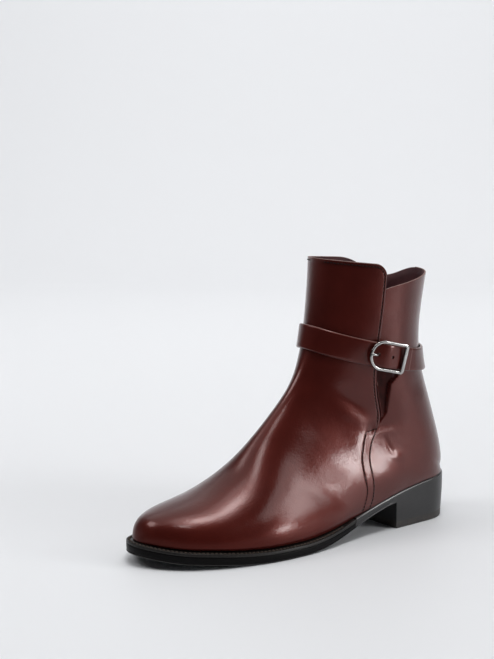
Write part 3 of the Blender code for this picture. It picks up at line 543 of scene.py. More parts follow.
def collar_limit(side, patch, u_top, ahead):
    """Share of each column that lies under the collar."""
    v = np.linspace(0.5, 1.0, 160)
    limit = np.empty(len(u_top))
    for j, u in enumerate(u_top):
        line = patch(np.full_like(v, u), v)
        over = line[:, 1] - collar_height(side, line[:, 0], ahead[j])
        limit[j] = np.interp(0.0, over, v)
    return limit


def lap_share(patch, v):
    """u at which each row of the lateral patch meets the lap."""
    u = np.linspace(0.02, 0.98, 600)
    shares = np.empty_like(v)
    for i, row in np.ndenumerate(v):
        line = patch(u, np.full_like(u, row))
        shares[i] = np.interp(0.0, line[:, 0] - lap_station(line[:, 1]), u)
    return shares


def upper_side(side):
    """Rows of surface points on one side, back to front, and the distance ahead of the lap."""
    patch = side_patch(side)
    v = np.linspace(0, 1, UPPER_ROWS) ** 0.92
    if side > 0:
        ahead = np.concatenate([np.zeros(REAR_COLUMNS, bool), np.ones(FORE_COLUMNS, bool)])
        behind_share = 1 - (1 - np.linspace(0, 1, REAR_COLUMNS)) ** 1.35
        front_share = np.linspace(0, 1, FORE_COLUMNS) ** 1.5
    else:
        ahead = np.ones(MEDIAL_COLUMNS, bool)
        front_share = np.linspace(0, 1, MEDIAL_COLUMNS)

    def columns(v_grid):
        if side < 0:
            return np.broadcast_to(front_share, v_grid.shape)
        levels = np.linspace(0, 1, 120)
        lap = np.interp(v_grid, levels, lap_share(patch, levels))
        half = 0.5 * LAP_WIDTH / PATCH_LENGTH
        u = np.empty_like(v_grid)
        u[:, ~ahead] = (lap[:, ~ahead] - half) * behind_share
        u[:, ahead] = lap[:, ahead] + half + (1 - lap[:, ahead] - half) * front_share
        return u

    one_row = np.ones((1, len(ahead)))
    limit = collar_limit(side, patch, columns(one_row)[0], ahead)
    upper_part = np.clip((v - COLLAR_BLEND) / (1 - COLLAR_BLEND), 0, 1)[:, None]
    v_grid = np.minimum(v, COLLAR_BLEND)[:, None] + upper_part * (limit[None] - COLLAR_BLEND)
    u_grid = columns(v_grid)
    flat = patch(u_grid, v_grid)
    s, z = flat[..., 0], flat[..., 1]
    y = surface_y(s, z, side)
    axis = section_at(section_through(s[:, [0, -1]], z[:, [0, -1]]))[..., COLUMN["axis_y"]]
    y[:, [0, -1]] = axis
    feather = feather_side(side)
    y[0] = along(feather, u_grid[0] * arc_length(feather)[-1])[:, 1]
    points = np.stack([s, y, z], -1)
    distance = s - lap_station(z)
    return points, np.where(ahead, np.maximum(distance, 0), np.minimum(distance, -1e-6))


def grid_normals(points):
    """Unit normals of a ring grid, pointing out of the boot; rows go up, columns go round."""
    around = np.roll(points, -1, 1) - np.roll(points, 1, 1)
    upward = np.gradient(points, axis=0)
    return unit(np.cross(upward, around))


def gusset_at(s, z):
    """Share by which a point behind the lap lies in the gusset, and the gusset's depth there."""
    order = np.argsort(GUSSET[:, 0])
    edge = np.interp(z, GUSSET[order, 0], GUSSET[order, 1])
    depth = np.interp(z, GUSSET[order, 0], GUSSET[order, 2])
    return smooth_step((s - edge) / GUSSET_EDGE + 0.5) * between(z, *GUSSET_HEIGHTS), depth


def lap_relief(s, z, distance):
    """Height of the leather over the last round the lap: cut edge, step, gusset and its pleat."""
    inside, depth = gusset_at(s, z)
    pleat = np.exp(-((distance + PLEAT_BACK) / PLEAT_WIDTH) ** 2) * between(z, *PLEAT_HEIGHTS)
    quarter = PLEAT_RISE * pleat - inside * depth - PANEL_STEP * smooth_step(1 + distance / STEP_FADE)
    panel = -EDGE_ROLL * np.clip(1 - distance / EDGE_ROLL_WIDTH, 0, 1) ** 2
    joined = smooth_step((z - SEAM_TOP) / SEAM_STEP_FADE + 1)
    return np.where(distance < 0, quarter, panel) * (SEAM_STEP + (1 - SEAM_STEP) * joined)


def crease_relief(side, s, z):
    """Sum of the listed folds on one side."""
    rise = np.zeros_like(s)
    for row in CREASES:
        fold = dict(zip(CREASE_COLUMNS, row))
        if fold["side"] != side:
            continue
        step = np.array([fold["to_s"] - fold["from_s"], fold["to_z"] - fold["from_z"]])
        length = np.linalg.norm(step)
        step /= length
        ds, dz = s - fold["from_s"], z - fold["from_z"]
        share = (ds * step[0] + dz * step[1]) / length
        across = (dz * step[0] - ds * step[1]) / fold["width"]
        rise += fold["rise"] * np.exp(-across ** 2) * np.clip(1 - (2 * share - 1) ** 2, 0, 1) ** 2
    if side > 0:
        pinch_s, pinch_z, radius, depth = PINCH
        rise += depth * np.exp(-((s - pinch_s) ** 2 + (z - pinch_z) ** 2) / radius ** 2)
    return rise


def inset_path(path, distance):
    """Row of side-view points moved to its left by a distance."""
    return path + distance * left_of(np.gradient(path, axis=0))


def panel_edge():
    """Front panel's edge in the side view: along the collar from the shin, then down the lap."""
    s = np.linspace(COLLAR_SHIN - 1.0, LAP_TOP + 0.02, 240)
    top = np.stack([s, collar_height(1, s, np.ones(len(s), bool))], -1)
    z = np.linspace(top[-1, 1] - 0.5, SEAM_TOP, 240)
    down = np.stack([lap_station(z), z], -1)
    whole = np.concatenate([top, down])
    return along(whole, np.linspace(0, arc_length(whole)[-1], 420))


def seam_paths():
    """Stitch rows on the outer side, as rows of side-view points."""
    z = np.linspace(SEAM_TOP, SEAM_FOOT, 160)
    low_rear = np.stack([lap_station(z) + SEAM_INSET, z], -1)
    z = np.linspace(SEAM_AHEAD[0, 0], SEAM_AHEAD[-1, 0], 160)
    low_front = np.stack([seam_ahead(z), z], -1)
    bar = np.linspace(low_rear[4], low_front[0], 24)
    return [inset_path(panel_edge(), STITCH_INSET), low_rear, low_front, bar]


def medial_collar_path():
    """Stitch row under the collar on the inner side."""
    s = np.linspace(back_station(186.0) + 2.0, COLLAR_SHIN - 1.0, 240)
    return np.stack([s, collar_height(-1, s, True) - STITCH_INSET], -1)


def path_distance(s, z, path):
    """Distance of side-view points from a row of points, in millimetres."""
    nearest = np.full(s.shape, 1e6)
    for a, b in zip(path[:-1], path[1:]):
        step = b - a
        share = np.clip(((s - a[0]) * step[0] + (z - a[1]) * step[1]) / (step @ step + 1e-12), 0, 1)
        gap = (s - a[0] - share * step[0]) ** 2 + (z - a[1] - share * step[1]) ** 2
        nearest = np.minimum(nearest, gap)
    return np.sqrt(nearest)


def skin(side, path):
    """Points on the relief of the upper along a side-view path, with their normals."""
    s, z = path.T
    step = 0.4
    slope_s = (surface_y(s + step, z, side) - surface_y(s - step, z, side)) / (2 * step)
    slope_z = (surface_y(s, z + step, side) - surface_y(s, z - step, side)) / (2 * step)
    normal = unit(side * np.stack([-slope_s, np.ones_like(s), -slope_z], -1))
    relief = crease_relief(side, s, z)
    if side > 0:
        relief = relief + lap_relief(s, z, s - lap_station(z))
    return np.stack([s, surface_y(s, z, side), z], -1) + normal * relief[..., None], normal


def new_piece(name, slot, nodes, points, faces, looks, parts=None, marks=None, sharp=50.0):
    """Smooth piece that rides on the boot, takes the given looks and hides the solids it stands for.

    Parts are the materials of the faces, marks are named numbers of the vertices. The slot is not used.
    """
    mesh = bpy.data.meshes.new(name)
    placed = (np.asarray(points, float) - ORIGIN) * MM
    mesh.from_pydata(placed.tolist(), [], [list(face) for face in faces])
    for look in looks:
        mesh.materials.append(look)
    if parts is not None:
        mesh.polygons.foreach_set("material_index", np.asarray(parts, np.int32))
    shape = bmesh.new()
    shape.from_mesh(mesh)
    bmesh.ops.recalc_face_normals(shape, faces=shape.faces[:])
    shape.to_mesh(mesh)
    shape.free()
    for mark_name, values in (marks or {}).items():
        layer = mesh.attributes.new(mark_name, "FLOAT", "POINT")
        layer.data.foreach_set("value", np.asarray(values, np.float32).ravel())
    mesh.shade_smooth()
    mesh.set_sharp_from_angle(angle=math.radians(sharp))
    thing = bpy.data.objects.new(name, mesh)
    bpy.context.scene.collection.objects.link(thing)
    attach(thing, "root")
    if nodes:
        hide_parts(*nodes)


def tube_faces(rows, columns, closed_rows):
    """Quads of a grid whose columns close into a ring; the rows may close too."""
    i = np.arange(rows if closed_rows else rows - 1)[:, None]
    j = np.arange(columns)[None]
    k = (i + 1) % rows
    n = (j + 1) % columns
    quads = np.stack([i * columns + j, i * columns + n, k * columns + n, k * columns + j], -1)
    return quads.reshape(-1, 4).tolist()


def ring_tube(grid):
    """Points and faces of a tube from rows of ring points, whose last row meets the first."""
    return grid.reshape(-1, 3), tube_faces(*grid.shape[:2], True)


def capped_tube(grid):
    """Points and faces of a tube from rows of ring points, closed at both ends."""
    rows, ring = grid.shape[:2]
    faces = tube_faces(rows, ring, False)
    for base in (0, (rows - 1) * ring):
        faces.append([base + i for i in range(ring)])
    return grid.reshape(-1, 3), faces


def joined_shapes(shapes):
    """Points and faces of several shapes as one."""
    points, faces = [], []
    for spots, sides in shapes:
        faces += [[len(points) + i for i in face] for face in sides]
        points.extend(spots)
    return points, faces


def make_upper(looks):
    """Whole upper as one closed wall: outer leather, rounded rim, lining."""
    lateral, distance = upper_side(1)
    medial = upper_side(-1)[0][:, -2:0:-1]
    base = np.concatenate([lateral, medial], 1)
    normal = grid_normals(base)
    normal[:, REAR_COLUMNS - 1] = normal[:, REAR_COLUMNS - 2]
    normal[:, REAR_COLUMNS] = normal[:, REAR_COLUMNS + 1]
    relief, marks = upper_marks(lateral, distance, medial)
    outer = base + normal * relief[..., None]
    below_rim = base[-1, :, 2] - base[..., 2]
    wall = WALL - RIM_SKIVE * np.clip(1 - below_rim / RIM_DEEP, 0, 1)
    inner = base - normal * np.maximum(wall, LEAST_WALL - relief)[..., None]
    inner[0] = base[0] - unit(normal[0] * (1, 1, 0)) * WALL
    for wall_side in (inner, outer):
        wall_side[0, :, 2] = feather_height(wall_side[0, :, 0])
    share = np.arange(1, RIM_ROWS + 1)[:, None, None] / (RIM_ROWS + 1)
    rim = outer[-1] * (1 - share) + inner[-1] * share
    rim[..., 2] += RIM_CROWN * np.sin(math.pi * share[..., 0])
    rows = np.round(np.linspace(UPPER_ROWS - 1, 0, LINING_ROWS)).astype(int)
    loops = np.concatenate([outer, rim, inner[rows]])
    parts = np.full(loops.shape[:2], LEATHER)
    quarter = lateral[:, :REAR_COLUMNS]
    inside, _ = gusset_at(quarter[..., 0], quarter[..., 2])
    off_pleat = abs(distance[:, :REAR_COLUMNS] + PLEAT_BACK) > PLEAT_CREST
    # The gusset's faces, apart from the pleat's crest, take painted shade
    parts[:UPPER_ROWS, :REAR_COLUMNS][(inside > 0.5) & off_pleat] = FOLD_SHADE
    parts[UPPER_ROWS - 1:UPPER_ROWS + RIM_ROWS] = RIM
    parts[UPPER_ROWS + RIM_ROWS:] = LINING
    blank = np.zeros((len(loops) - UPPER_ROWS, loops.shape[1]))
    marks = {name: np.concatenate([values, blank]) for name, values in marks.items()}
    new_piece("upper_leather", "upper_leather", ["upper"], *ring_tube(loops), looks,
              parts.ravel(), marks, sharp=42.0)


def upper_marks(lateral, distance, medial):
    """Relief in millimetres on the whole ring of columns, and the marks: seams, burnish, missing polish."""
    reliefs, seams, burnishes, dulls = [], [], [], []
    for side, points in ((1, lateral), (-1, medial)):
        s, z = points[..., 0], points[..., 2]
        paths = seam_paths() if side > 0 else [medial_collar_path()]
        near = np.min([path_distance(s, z, path) for path in paths], 0)
        seam = np.exp(-(near / SEAM_GROOVE) ** 2)
        relief = crease_relief(side, s, z)
        if side > 0:
            seam = np.where(distance >= 0, seam, 0)
            relief = relief + lap_relief(s, z, distance)
        reliefs.append(relief - SEAM_DEEP * seam)
        seams.append(seam)
        burnishes.append(np.clip(burnish(s, z), 0, 1))
        dulls.append(unpolished(s, z))
    relief = np.concatenate(reliefs, 1)
    for row in (0, 1, 2):
        relief[row] *= row / 3
    marks = {"seam": seams, "dark": burnishes, "dull": dulls}
    return relief, {name: np.concatenate(sides, 1) for name, sides in marks.items()}


def burnish(s, z):
    """Where the polish is darker: toe, heel and the line along the sole."""
    sole = BURNISH_SOLE * np.exp(-((z - feather_height(s)) / BURNISH_REACH) ** 2)
    toe = BURNISH_TOE * smooth_step((s - 222.0) / 36.0)
    heel = BURNISH_HEEL * smooth_step((30.0 - s) / 24.0) * smooth_step((80.0 - z) / 30.0)
    return sole + toe + heel


def unpolished(s, z):
    """Where the polish thins out: the lowest part of the forefoot, along the welt."""
    low = np.exp(-((z - feather_height(s)) / DULL_REACH) ** 4)
    return low * smooth_step((s - WELT_END + 1.0) / DULL_FADE)


def stitches(name, slot, paths, look, pitch, length, radius, slant):
    """Sewing thread: a short lozenge per stitch along rows of (points, normals), joined into one mesh."""
    share = np.linspace(0, 1, STITCH_RINGS)
    arch = np.sin(math.pi * share)
    rise = (radius * (1.3 * arch - 0.9))[:, None]      # both ends dip into the leather
    lean = (slant * (share - 0.5))[:, None]
    thick = radius * np.clip(0.25 + 0.95 * arch ** 0.5, 0, 1)
    turn = circle(STITCH_SIDES)
    wide, high = (np.outer(thick, wave(turn))[..., None] for wave in (np.cos, np.sin))
    shapes = []
    for line, normal in paths:
        starts = np.arange(0.5 * pitch, arc_length(line)[-1] - length, pitch)
        at = starts[:, None] + share * length
        middle, up = along(line, at), along(line, at, normal)
        across = unit(np.cross(unit(np.gradient(middle, axis=1)), up))
        middle = middle + up * rise + across * lean
        rings = middle[:, :, None] + across[:, :, None] * wide + up[:, :, None] * high
        shapes += [capped_tube(stitch) for stitch in rings]
    new_piece(name, slot, (), *joined_shapes(shapes), [look])


def make_upper_stitching(look):
    """Stitch rows of the lap, the double seam and the collar."""
    rows = [skin(1, path) for path in seam_paths()] + [skin(-1, medial_collar_path())]
    stitches("upper_stitching", "upper_leather", rows, look,
             STITCH_PITCH, STITCH_LENGTH, STITCH_RADIUS, STITCH_SLANT)


def eased(count):
    """Shares from 0 to 1, closer together near both ends."""
    share = np.linspace(0, 1, count)
    return 0.6 * share + 0.4 * 0.5 * (1 - np.cos(math.pi * share))


def sole_loop(extra=(), count=LOOP_POINTS):
    """Plan of the feather line as a closed loop: heel, outer side, toe, inner side.

    Both sides share their stations, and extra ones can be added.
    """
    lateral = feather_side(1)
    station = along(lateral, eased(count // 2 + 1) * arc_length(lateral)[-1])[:, 0]
    clear = [all(abs(value - added) > 0.5 for added in extra) for value in station]
    station = np.sort(np.concatenate([station[clear], extra]))
    halves = []
    for side in (1, -1):
        line = feather_side(side)
        halves.append(np.stack([station, np.interp(station, line[:, 0], line[:, 1])], -1))
    return np.concatenate([halves[0], halves[1][-2:0:-1]]), len(station) - 1


def moved_out(loop, distance):
    """Plan loop moved outwards by a distance per point."""
    return loop + left_of(loop_tangent(loop)) * np.reshape(distance, (-1, 1))


def ledges(loop, half):
    """Width of the sole outside the upper for each point of the loop."""
    row = sole_row(loop[:, 0])
    return np.where(np.arange(len(loop)) <= half, row[:, 2], row[:, 3])


def strip_caps(count, half, base):
    """Faces that close a loop by strips across from side to side."""
    faces = []
    for i in range(half):
        corners = [base + i, base + i + 1, base + (count - i - 1) % count, base + (count - i) % count]
        faces.append(list(dict.fromkeys(corners)))
    return [face for face in faces if len(face) > 2]


def stacked_loops(loops, half):
    """Closed solid from loops of equal count, with the first and last closed by strips across."""
    count = len(loops[0])
    faces = tube_faces(len(loops), count, False)
    faces += strip_caps(count, half, 0) + strip_caps(count, half, (len(loops) - 1) * count)
    return np.concatenate(loops), faces


def at_height(plan, height):
    """Points of a plan at their heights."""
    return np.column_stack([plan, height])


def make_outsole(looks):
    """Leather sole with a beaded lower edge and a rounded upper edge."""
    loop, half = sole_loop((WELT_END - WELT_CUT, WELT_END + WELT_CUT))
    ledge = ledges(loop, half)
    fore = loop[:, 0] > WELT_END
    welted = np.where(fore, WELT_THICK + FIT_GAP, 0.0)
    crown = np.where(fore, FORE_CROWN, 1.0)
    bead = smooth_step((loop[:, 0] - BEAD_START) / BEAD_FADE)

    def low(offset, height):
        plan = moved_out(loop, ledge + offset * bead)
        return at_height(plan, sole_under(plan[:, 0]) + height)

    def high(offset, drop):
        plan = moved_out(loop, ledge + offset)
        return at_height(plan, feather_height(plan[:, 0]) - FIT_GAP - welted - drop)

    def seat(offset, step):
        plan = moved_out(loop, offset)
        return at_height(plan, feather_height(plan[:, 0]) - FIT_GAP - step)

    body_low, body_high = low(-0.02, 3.0), high(-0.02, 1.7)
    loops = [low(*row) for row in LOWER_EDGE]
    loops += [body_low, 0.5 * (body_low + body_high), body_high]
    loops += [high(offset * crown, drop * crown) for offset, drop in UPPER_EDGE]
    loops += [seat(-WELT_INSIDE - FIT_GAP, welted), seat(-WELT_INSIDE - 2 * FIT_GAP, 0.0)]
    points, faces = stacked_loops(loops, half)
    parts = []
    for face in faces:
        row = min(face) // len(loop)
        if points[face, 0].mean() > WELT_END:
            # Forefoot edge: the darker copy as painted shade; its lower bead rows keep the brighter finish
            parts.append(REAR_EDGE if row in LOWER_BEAD_ROWS else FORE_EDGE)
        else:
            # Upper bead rows behind the welt: the painted highlight
            parts.append(BEAD if row in UPPER_BEAD_ROWS else REAR_EDGE)
    new_piece("outsole_leather", "sole_leather", ["outsole"], points, faces, looks, parts, sharp=38.0)


def welt_path(offset, height, from_edge=False):
    """Points along the welt at a height over its top and an offset from the upper or the sole's edge."""
    start = WELT_END + WELT_CUT + FIT_GAP
    loop, half = sole_loop((start,), WELT_POINTS)
    reach = ledges(loop, half) if from_edge else np.zeros(len(loop))
    plan = moved_out(loop, reach + offset)[loop[:, 0] > start - 0.01]
    return at_height(plan, feather_height(plan[:, 0]) - FIT_GAP + height)


def make_welt(look):
    """Welt with a raised outer ridge, a wheeled stitch groove and the shelf under the upper."""
    rows = []
    for offset, height in WELT_PROFILE:
        line = welt_path(offset, height, True)
        arc = arc_length(line[:, :2])
        run_out = 1 - smooth_step((np.minimum(arc, arc[-1] - arc) - 2.0) / WELT_FREE)
        if WELT_WHEELED[0] < offset < WELT_WHEELED[1]:
            wheel = 0.5 + 0.5 * np.cos(2 * math.pi * arc / WELT_PITCH)
            line[:, 2] += WHEEL_RISE * wheel ** 3 * (1 - run_out)
        if height > -2.0:
            line[:, 2] -= run_out * (height + 0.15)
        rows.append(line)
    for offset, height in ((-0.9, -0.25), (-WELT_INSIDE, 0.0), (-WELT_INSIDE, -WELT_THICK)):
        rows.append(welt_path(offset, height))
    new_piece("welt_leather", "welt_leather", ["welt"], *capped_tube(np.stack(rows, 1)), [look], sharp=40.0)


def make_welt_stitching(look):
    """Stitches in the welt's groove."""
    line = welt_path(-WELT_GROOVE, -1.0, True)
    arc = arc_length(line)
    line = line[(arc > WELT_FREE) & (arc < arc[-1] - WELT_FREE)]
    up = np.tile((0.0, 0.0, 1.0), (len(line), 1))
    stitches("welt_stitching", "welt_leather", [(line, up)], look,
             WELT_PITCH, WELT_STITCH * WELT_PITCH, WELT_STITCH_RADIUS, WELT_STITCH_SLANT)


def make_insole(look):
    """Insole board with a rounded top edge."""
    loop, half = sole_loop()
    loops = []
    for inset, rise in ((0.0, 0.0), (0.1, 0.8), (0.5, 1.9), (INSOLE_SKIVE, 2.45), (2.4, INSOLE_THICK)):
        plan = moved_out(loop, -INSOLE_EDGE - inset)
        loops.append(at_height(plan, feather_height(plan[:, 0]) + rise))
    new_piece("insole_sock", "insole_leather", ["insole"], *stacked_loops(loops, half), [look])


def heel_plan(inset):
    """Plan of the heel from the back to the straight breast, and the count of its outer half."""
    loop, half = sole_loop((HEEL_BREAST,))
    edge = moved_out(loop, ledges(loop, half) - inset)
    plan = []
    for side in (edge[:half + 1], np.concatenate([edge[:1], edge[:half - 1:-1]])):
        kept = side[side[:, 0] < HEEL_BREAST - BREAST_CLEAR]
        end = np.interp(HEEL_BREAST - inset, side[:half - 12, 0], side[:half - 12, 1])
        plan.append(np.concatenate([kept, [(HEEL_BREAST - inset, end)]]))
    lateral, medial = plan
    return np.concatenate([lateral, medial[::-1][:-1]]), len(lateral) - 1


def lift_top(s):
    """Height at which the heel stands on its top lift."""
    return np.full_like(s, LIFT_THICK)


def heel_block(name, slot, node, low, high, bevel, look):
    """Block of the heel between two height functions, with a softened lower edge."""
    plan, half = heel_plan(0.0)
    taper, _ = heel_plan(HEEL_TAPER)
    inward = unit(plan.mean(0) - plan)
    bottom, top = low(plan[:, 0]), high(plan[:, 0])
    levels = [(bottom, bevel)]
    if bevel:
        levels += [(bottom + 0.3 * bevel, 0.3 * bevel), (bottom + bevel, 0.0)]
    levels += [((1 - share) * bottom + share * top, 0.0) for share in (0.33, 0.67, 1.0)]
    loops = []
    for z, inset in levels:
        narrow = (1 - np.clip(z / HEEL_TAPER_HIGH, 0, 1))[:, None]
        loops.append(at_height(plan * (1 - narrow) + taper * narrow + inward * inset, z))
    new_piece(name, slot, [node], *stacked_loops(loops, half), [look], sharp=40.0)


def ankle_points(angle, z):
    """Points of the upper round the ankle; the angle is in degrees, 0 front and 90 outer side."""
    turn = np.radians(angle)
    middle = 0.5 * (front_station(z) + back_station(z))
    reach = 0.5 * (front_station(z) - back_station(z))
    s = middle + reach * 0.9999 * np.cos(turn)
    y = np.where(np.sin(turn) >= 0, surface_y(s, z, 1), surface_y(s, z, -1))
    return np.stack([s, y, z], -1)


def ankle_frame(angle, z):
    """Points round the ankle with their outward normals."""
    here = ankle_points(angle, z)
    around = ankle_points(angle + 0.6, z) - ankle_points(angle - 0.6, z)
    upward = ankle_points(angle, z + 1.0) - ankle_points(angle, z - 1.0)
    return here, unit(np.cross(around, upward))


def buckle_axes():
    """Centre of the buckle on the upper and its axes: to the toe, up, outwards."""
    angle = np.array([BUCKLE_ANGLE])
    here, out = ankle_frame(angle, strap_line(angle))
    ends = np.array([BUCKLE_ANGLE - 8.0, BUCKLE_ANGLE + 8.0])
    line = ankle_points(ends, strap_line(ends))
    forward = line[0] - line[1]
    forward = unit(forward - out[0] * (forward @ out[0]))
    return here[0], forward, np.cross(forward, out[0]), out[0]


BUCKLE_AXES = buckle_axes()


def in_buckle(u, v, h):
    """Points from their places along the buckle's axes."""
    centre, forward, up, out = BUCKLE_AXES
    return centre + np.multiply.outer(u, forward) + np.multiply.outer(v, up) + np.multiply.outer(h, out)


def make_strap(look):
    """Strap with rounded edges, its holes pressed in and its tail tucked behind the bar."""
    early = np.linspace(STRAP_START, STRAP_TAIL, STRAP_COLUMNS, endpoint=False)
    angle = np.concatenate([early, np.linspace(STRAP_TAIL, STRAP_END, TAIL_COLUMNS)])
    lift = strap_lift(angle)
    thick = np.interp(angle, SKIVE_ANGLES, (STRAP_SKIVE, STRAP_THICK))
    half = np.concatenate([np.linspace(0.03, 0.27, 9), [0.40, 0.56, 0.74, 0.9, 0.955, 0.985, 1]])
    widths = STRAP_HALF * np.concatenate([-half[::-1], [0.0], half])
    slant_start, slant_fade, slant = TAIL_SLANT
    tail_end = 0.6 * smooth_step((angle - STRAP_END + 0.9) / 0.5)
    inner, outer, cut = [], [], []
    for across in widths:
        turned = angle + slant * across * np.clip((angle - slant_start) / slant_fade, 0, 1)
        here, out = ankle_frame(turned, strap_line(turned % 360.0) + across)
        near_edge = np.clip(1 - (STRAP_HALF - abs(across)) / STRAP_EDGE, 0, 1)
        crown = STRAP_CROWN * (1 - (across / STRAP_HALF) ** 2)
        top = lift + thick * (1 - STRAP_ROUND * near_edge ** 2) + crown
        inner.append(here + out * (lift + STRAP_CURL * near_edge)[:, None])
        outer.append(here + out * top[:, None])
        # Paler cut-edge colour on the top edge only, partly a painted highlight (the bottom edge is left
        # dark); the tail's end takes it too
        cut.append(np.maximum(near_edge ** 2 if across > 0 else 0.0, tail_end))
    section = np.stack(inner + outer[::-1], 1)
    rows, ring = section.shape[:2]
    faces = tube_faces(rows, ring, False)
    for base in (0, (rows - 1) * ring):
        for i in range(len(widths) - 1):
            faces.append([base + i, base + i + 1, base + ring - 2 - i, base + ring - 1 - i])
    flat = section.reshape(-1, 3)
    centre, forward, up, out = BUCKLE_AXES
    off = flat - centre
    gaps = [np.hypot(off @ forward - place, off @ up) for place in (PRONG_HOLE, SPARE_HOLE)]
    hole = smooth_step((HOLE_RADIUS - np.minimum(*gaps)) / 0.4) * np.repeat(angle > STRAP_TAIL, ring)
    outside = np.tile(np.arange(ring) >= len(widths), rows)
    flat = flat - np.where(outside, HOLE_DEEP * hole, 0)[:, None] * out
    marks = {"edge": np.stack(cut + cut[::-1], 1), "hole": hole}
    new_piece("ankle_strap_leather", "strap_leather", ["ankle_strap"], flat, faces, [look],
              marks=marks, sharp=60.0)


def frame_height(u):
    """Height of the D frame's middle over the upper; it leans towards the toe."""
    return BUCKLE_HIGH - BUCKLE_TILT * u


def buckle_path():
    """Middle line of the D frame and the width of its wire at each point."""
    bar = [(BUCKLE_REAR, v, BUCKLE_BAR) for v in np.linspace(8.6, -8.6, 24)]
    corner = [(BUCKLE_REAR + 0.25, -9.3, 2.9), (BUCKLE_REAR + 1.0, -BUCKLE_RISE, 2.4)]
    low = [(u, -BUCKLE_RISE, BUCKLE_WIRE) for u in np.linspace(BUCKLE_REAR + 2.4, BUCKLE_BEND - 0.6, 20)]
    bend = [(BUCKLE_BEND + BUCKLE_RISE * math.cos(a), BUCKLE_RISE * math.sin(a), BUCKLE_WIRE)
            for a in np.radians(np.linspace(-90, 90, 61))]
    high = [(u, -v, w) for u, v, w in (corner + low)[::-1]]
    return np.array(bar + corner + low + bend + high)


def wire(line, radius, sides, place):
    """Round wire along a line of (run, height); place takes run, side and height to points."""
    turn = circle(sides)
    rings = []
    for (run, height), (ahead, climb), r in zip(line, unit(np.gradient(line, axis=0)), radius):
        lift = r * np.sin(turn)
        rings.append(place(run - climb * lift, r * np.cos(turn), height + ahead * lift))
    return capped_tube(np.stack(rings))


def make_buckle_frame(look):
    """D frame of rounded flat wire, with the hidden middle bar."""
    line = buckle_path()
    plan, half = line[:, :2], 0.5 * line[:, 2:]
    inward = left_of(loop_tangent(plan))
    rows = []
    for turn in circle(FRAME_SIDES):
        across, up = (math.copysign(abs(c) ** FRAME_CORNER, c) for c in (math.cos(turn), math.sin(turn)))
        u, v = (plan + inward * half * across).T
        rows.append(in_buckle(u, v, frame_height(u) + 0.5 * BUCKLE_WIRE * up))
    points, faces = joined_shapes([ring_tube(np.stack(rows, 1)), pin_bar()])
    new_piece("buckle_frame_metal", "buckle_metal", ["buckle_frame"], points, faces, [look], sharp=55.0)


def pin_bar():
    """Hidden middle bar: hangs from the two rails and passes under the strap."""
    top, low = frame_height(0.0) - 0.6, 0.75 + 0.5 * PIN_BAR
    half = [(-BUCKLE_RISE, top), (-BUCKLE_RISE, low + 1.2), (-BUCKLE_RISE + 0.3, low + 0.3),
            (-BUCKLE_RISE + 1.2, low)]
    line = np.array(half + [(-run, height) for run, height in half[::-1]])
    radius = np.full(len(line), PIN_BAR_SHRINK * PIN_BAR)
    return wire(line, radius, 12, lambda run, side, height: in_buckle(side, run, height))


def make_buckle_prong(look):
    """Round prong: lies under the strap, comes up through its hole and rests on the frame's curve."""
    bend = BUCKLE_BEND + BUCKLE_RISE
    rest = frame_height(bend) + 0.5 * BUCKLE_WIRE + FIT_GAP + PRONG_RADIUS
    knots = np.array([(1.6, 1.5), (4.5, 1.0), (6.4, 1.05), (8.2, 2.0), (9.8, 3.6), (11.2, 4.9),
                      (13.0, rest - 0.1), (bend, rest), (bend + 1.2, rest - 0.1)])
    arc = arc_length(knots)
    line = natural_spline(arc, knots)(np.linspace(0, arc[-1], PRONG_RINGS))
    tip = np.clip((np.linspace(0, 1, PRONG_RINGS) - 0.94) / 0.062, 0, 1)
    radius = PRONG_RADIUS * np.sqrt(np.clip(1 - tip ** 2, 0.02, 1))
    points, faces = wire(line, radius, 16, in_buckle)
    new_piece("buckle_prong_metal", "prong_metal", ["buckle_prong"], points, faces, [look])


def blank_material(name):
    """New material, its node tree and its shader."""
    made = bpy.data.materials.new(name)
    made.use_nodes = True
    return made, made.node_tree, made.node_tree.nodes["Principled BSDF"]


def set_values(node, **inputs):
    """Values set on a node's own sockets; an underscore stands for a space in a socket's name."""
    for name, value in inputs.items():
        node.inputs[name.replace("_", " ")].default_value = value


def add(tree, kind, **inputs):
    """Node with values set on its named inputs."""
    made = tree.nodes.new(kind)
    set_values(made, **inputs)
    return made


def noise(tree, scale, detail=3.0, rough=0.5, stretch=(1, 1, 1)):
    """Noise over the boot's own place in metres; returns its value."""
    place = add(tree, "ShaderNodeTexCoord")
    spread = add(tree, "ShaderNodeMapping", Scale=stretch)
    tree.links.new(place.outputs["Object"], spread.inputs["Vector"])
    made = add(tree, "ShaderNodeTexNoise", Scale=scale, Detail=detail, Roughness=rough)
    tree.links.new(spread.outputs["Vector"], made.inputs["Vector"])
    return made.outputs["Fac"]


def cells(tree, scale):
    """Distance to the middle of small cells, for pores."""
    place = add(tree, "ShaderNodeTexCoord")
    made = add(tree, "ShaderNodeTexVoronoi", Scale=scale)
    tree.links.new(place.outputs["Object"], made.inputs["Vector"])
    return made.outputs["Distance"]


def mark(tree, name):
    """Number that the mesh carries under a name."""
    made = tree.nodes.new("ShaderNodeAttribute")
    made.attribute_name = name
    return made.outputs["Fac"]


def ramp(tree, value, stops):
    """Colours by value: rows of place and linear colour."""
    made = tree.nodes.new("ShaderNodeValToRGB")
    band = made.color_ramp
    while len(band.elements) < len(stops):
        band.elements.new(0.5)
    for element, (place, colour) in zip(band.elements, stops):
        element.position = place
        element.color = (*colour, 1.0)
    tree.links.new(value, made.inputs["Fac"])
    return made.outputs["Color"]


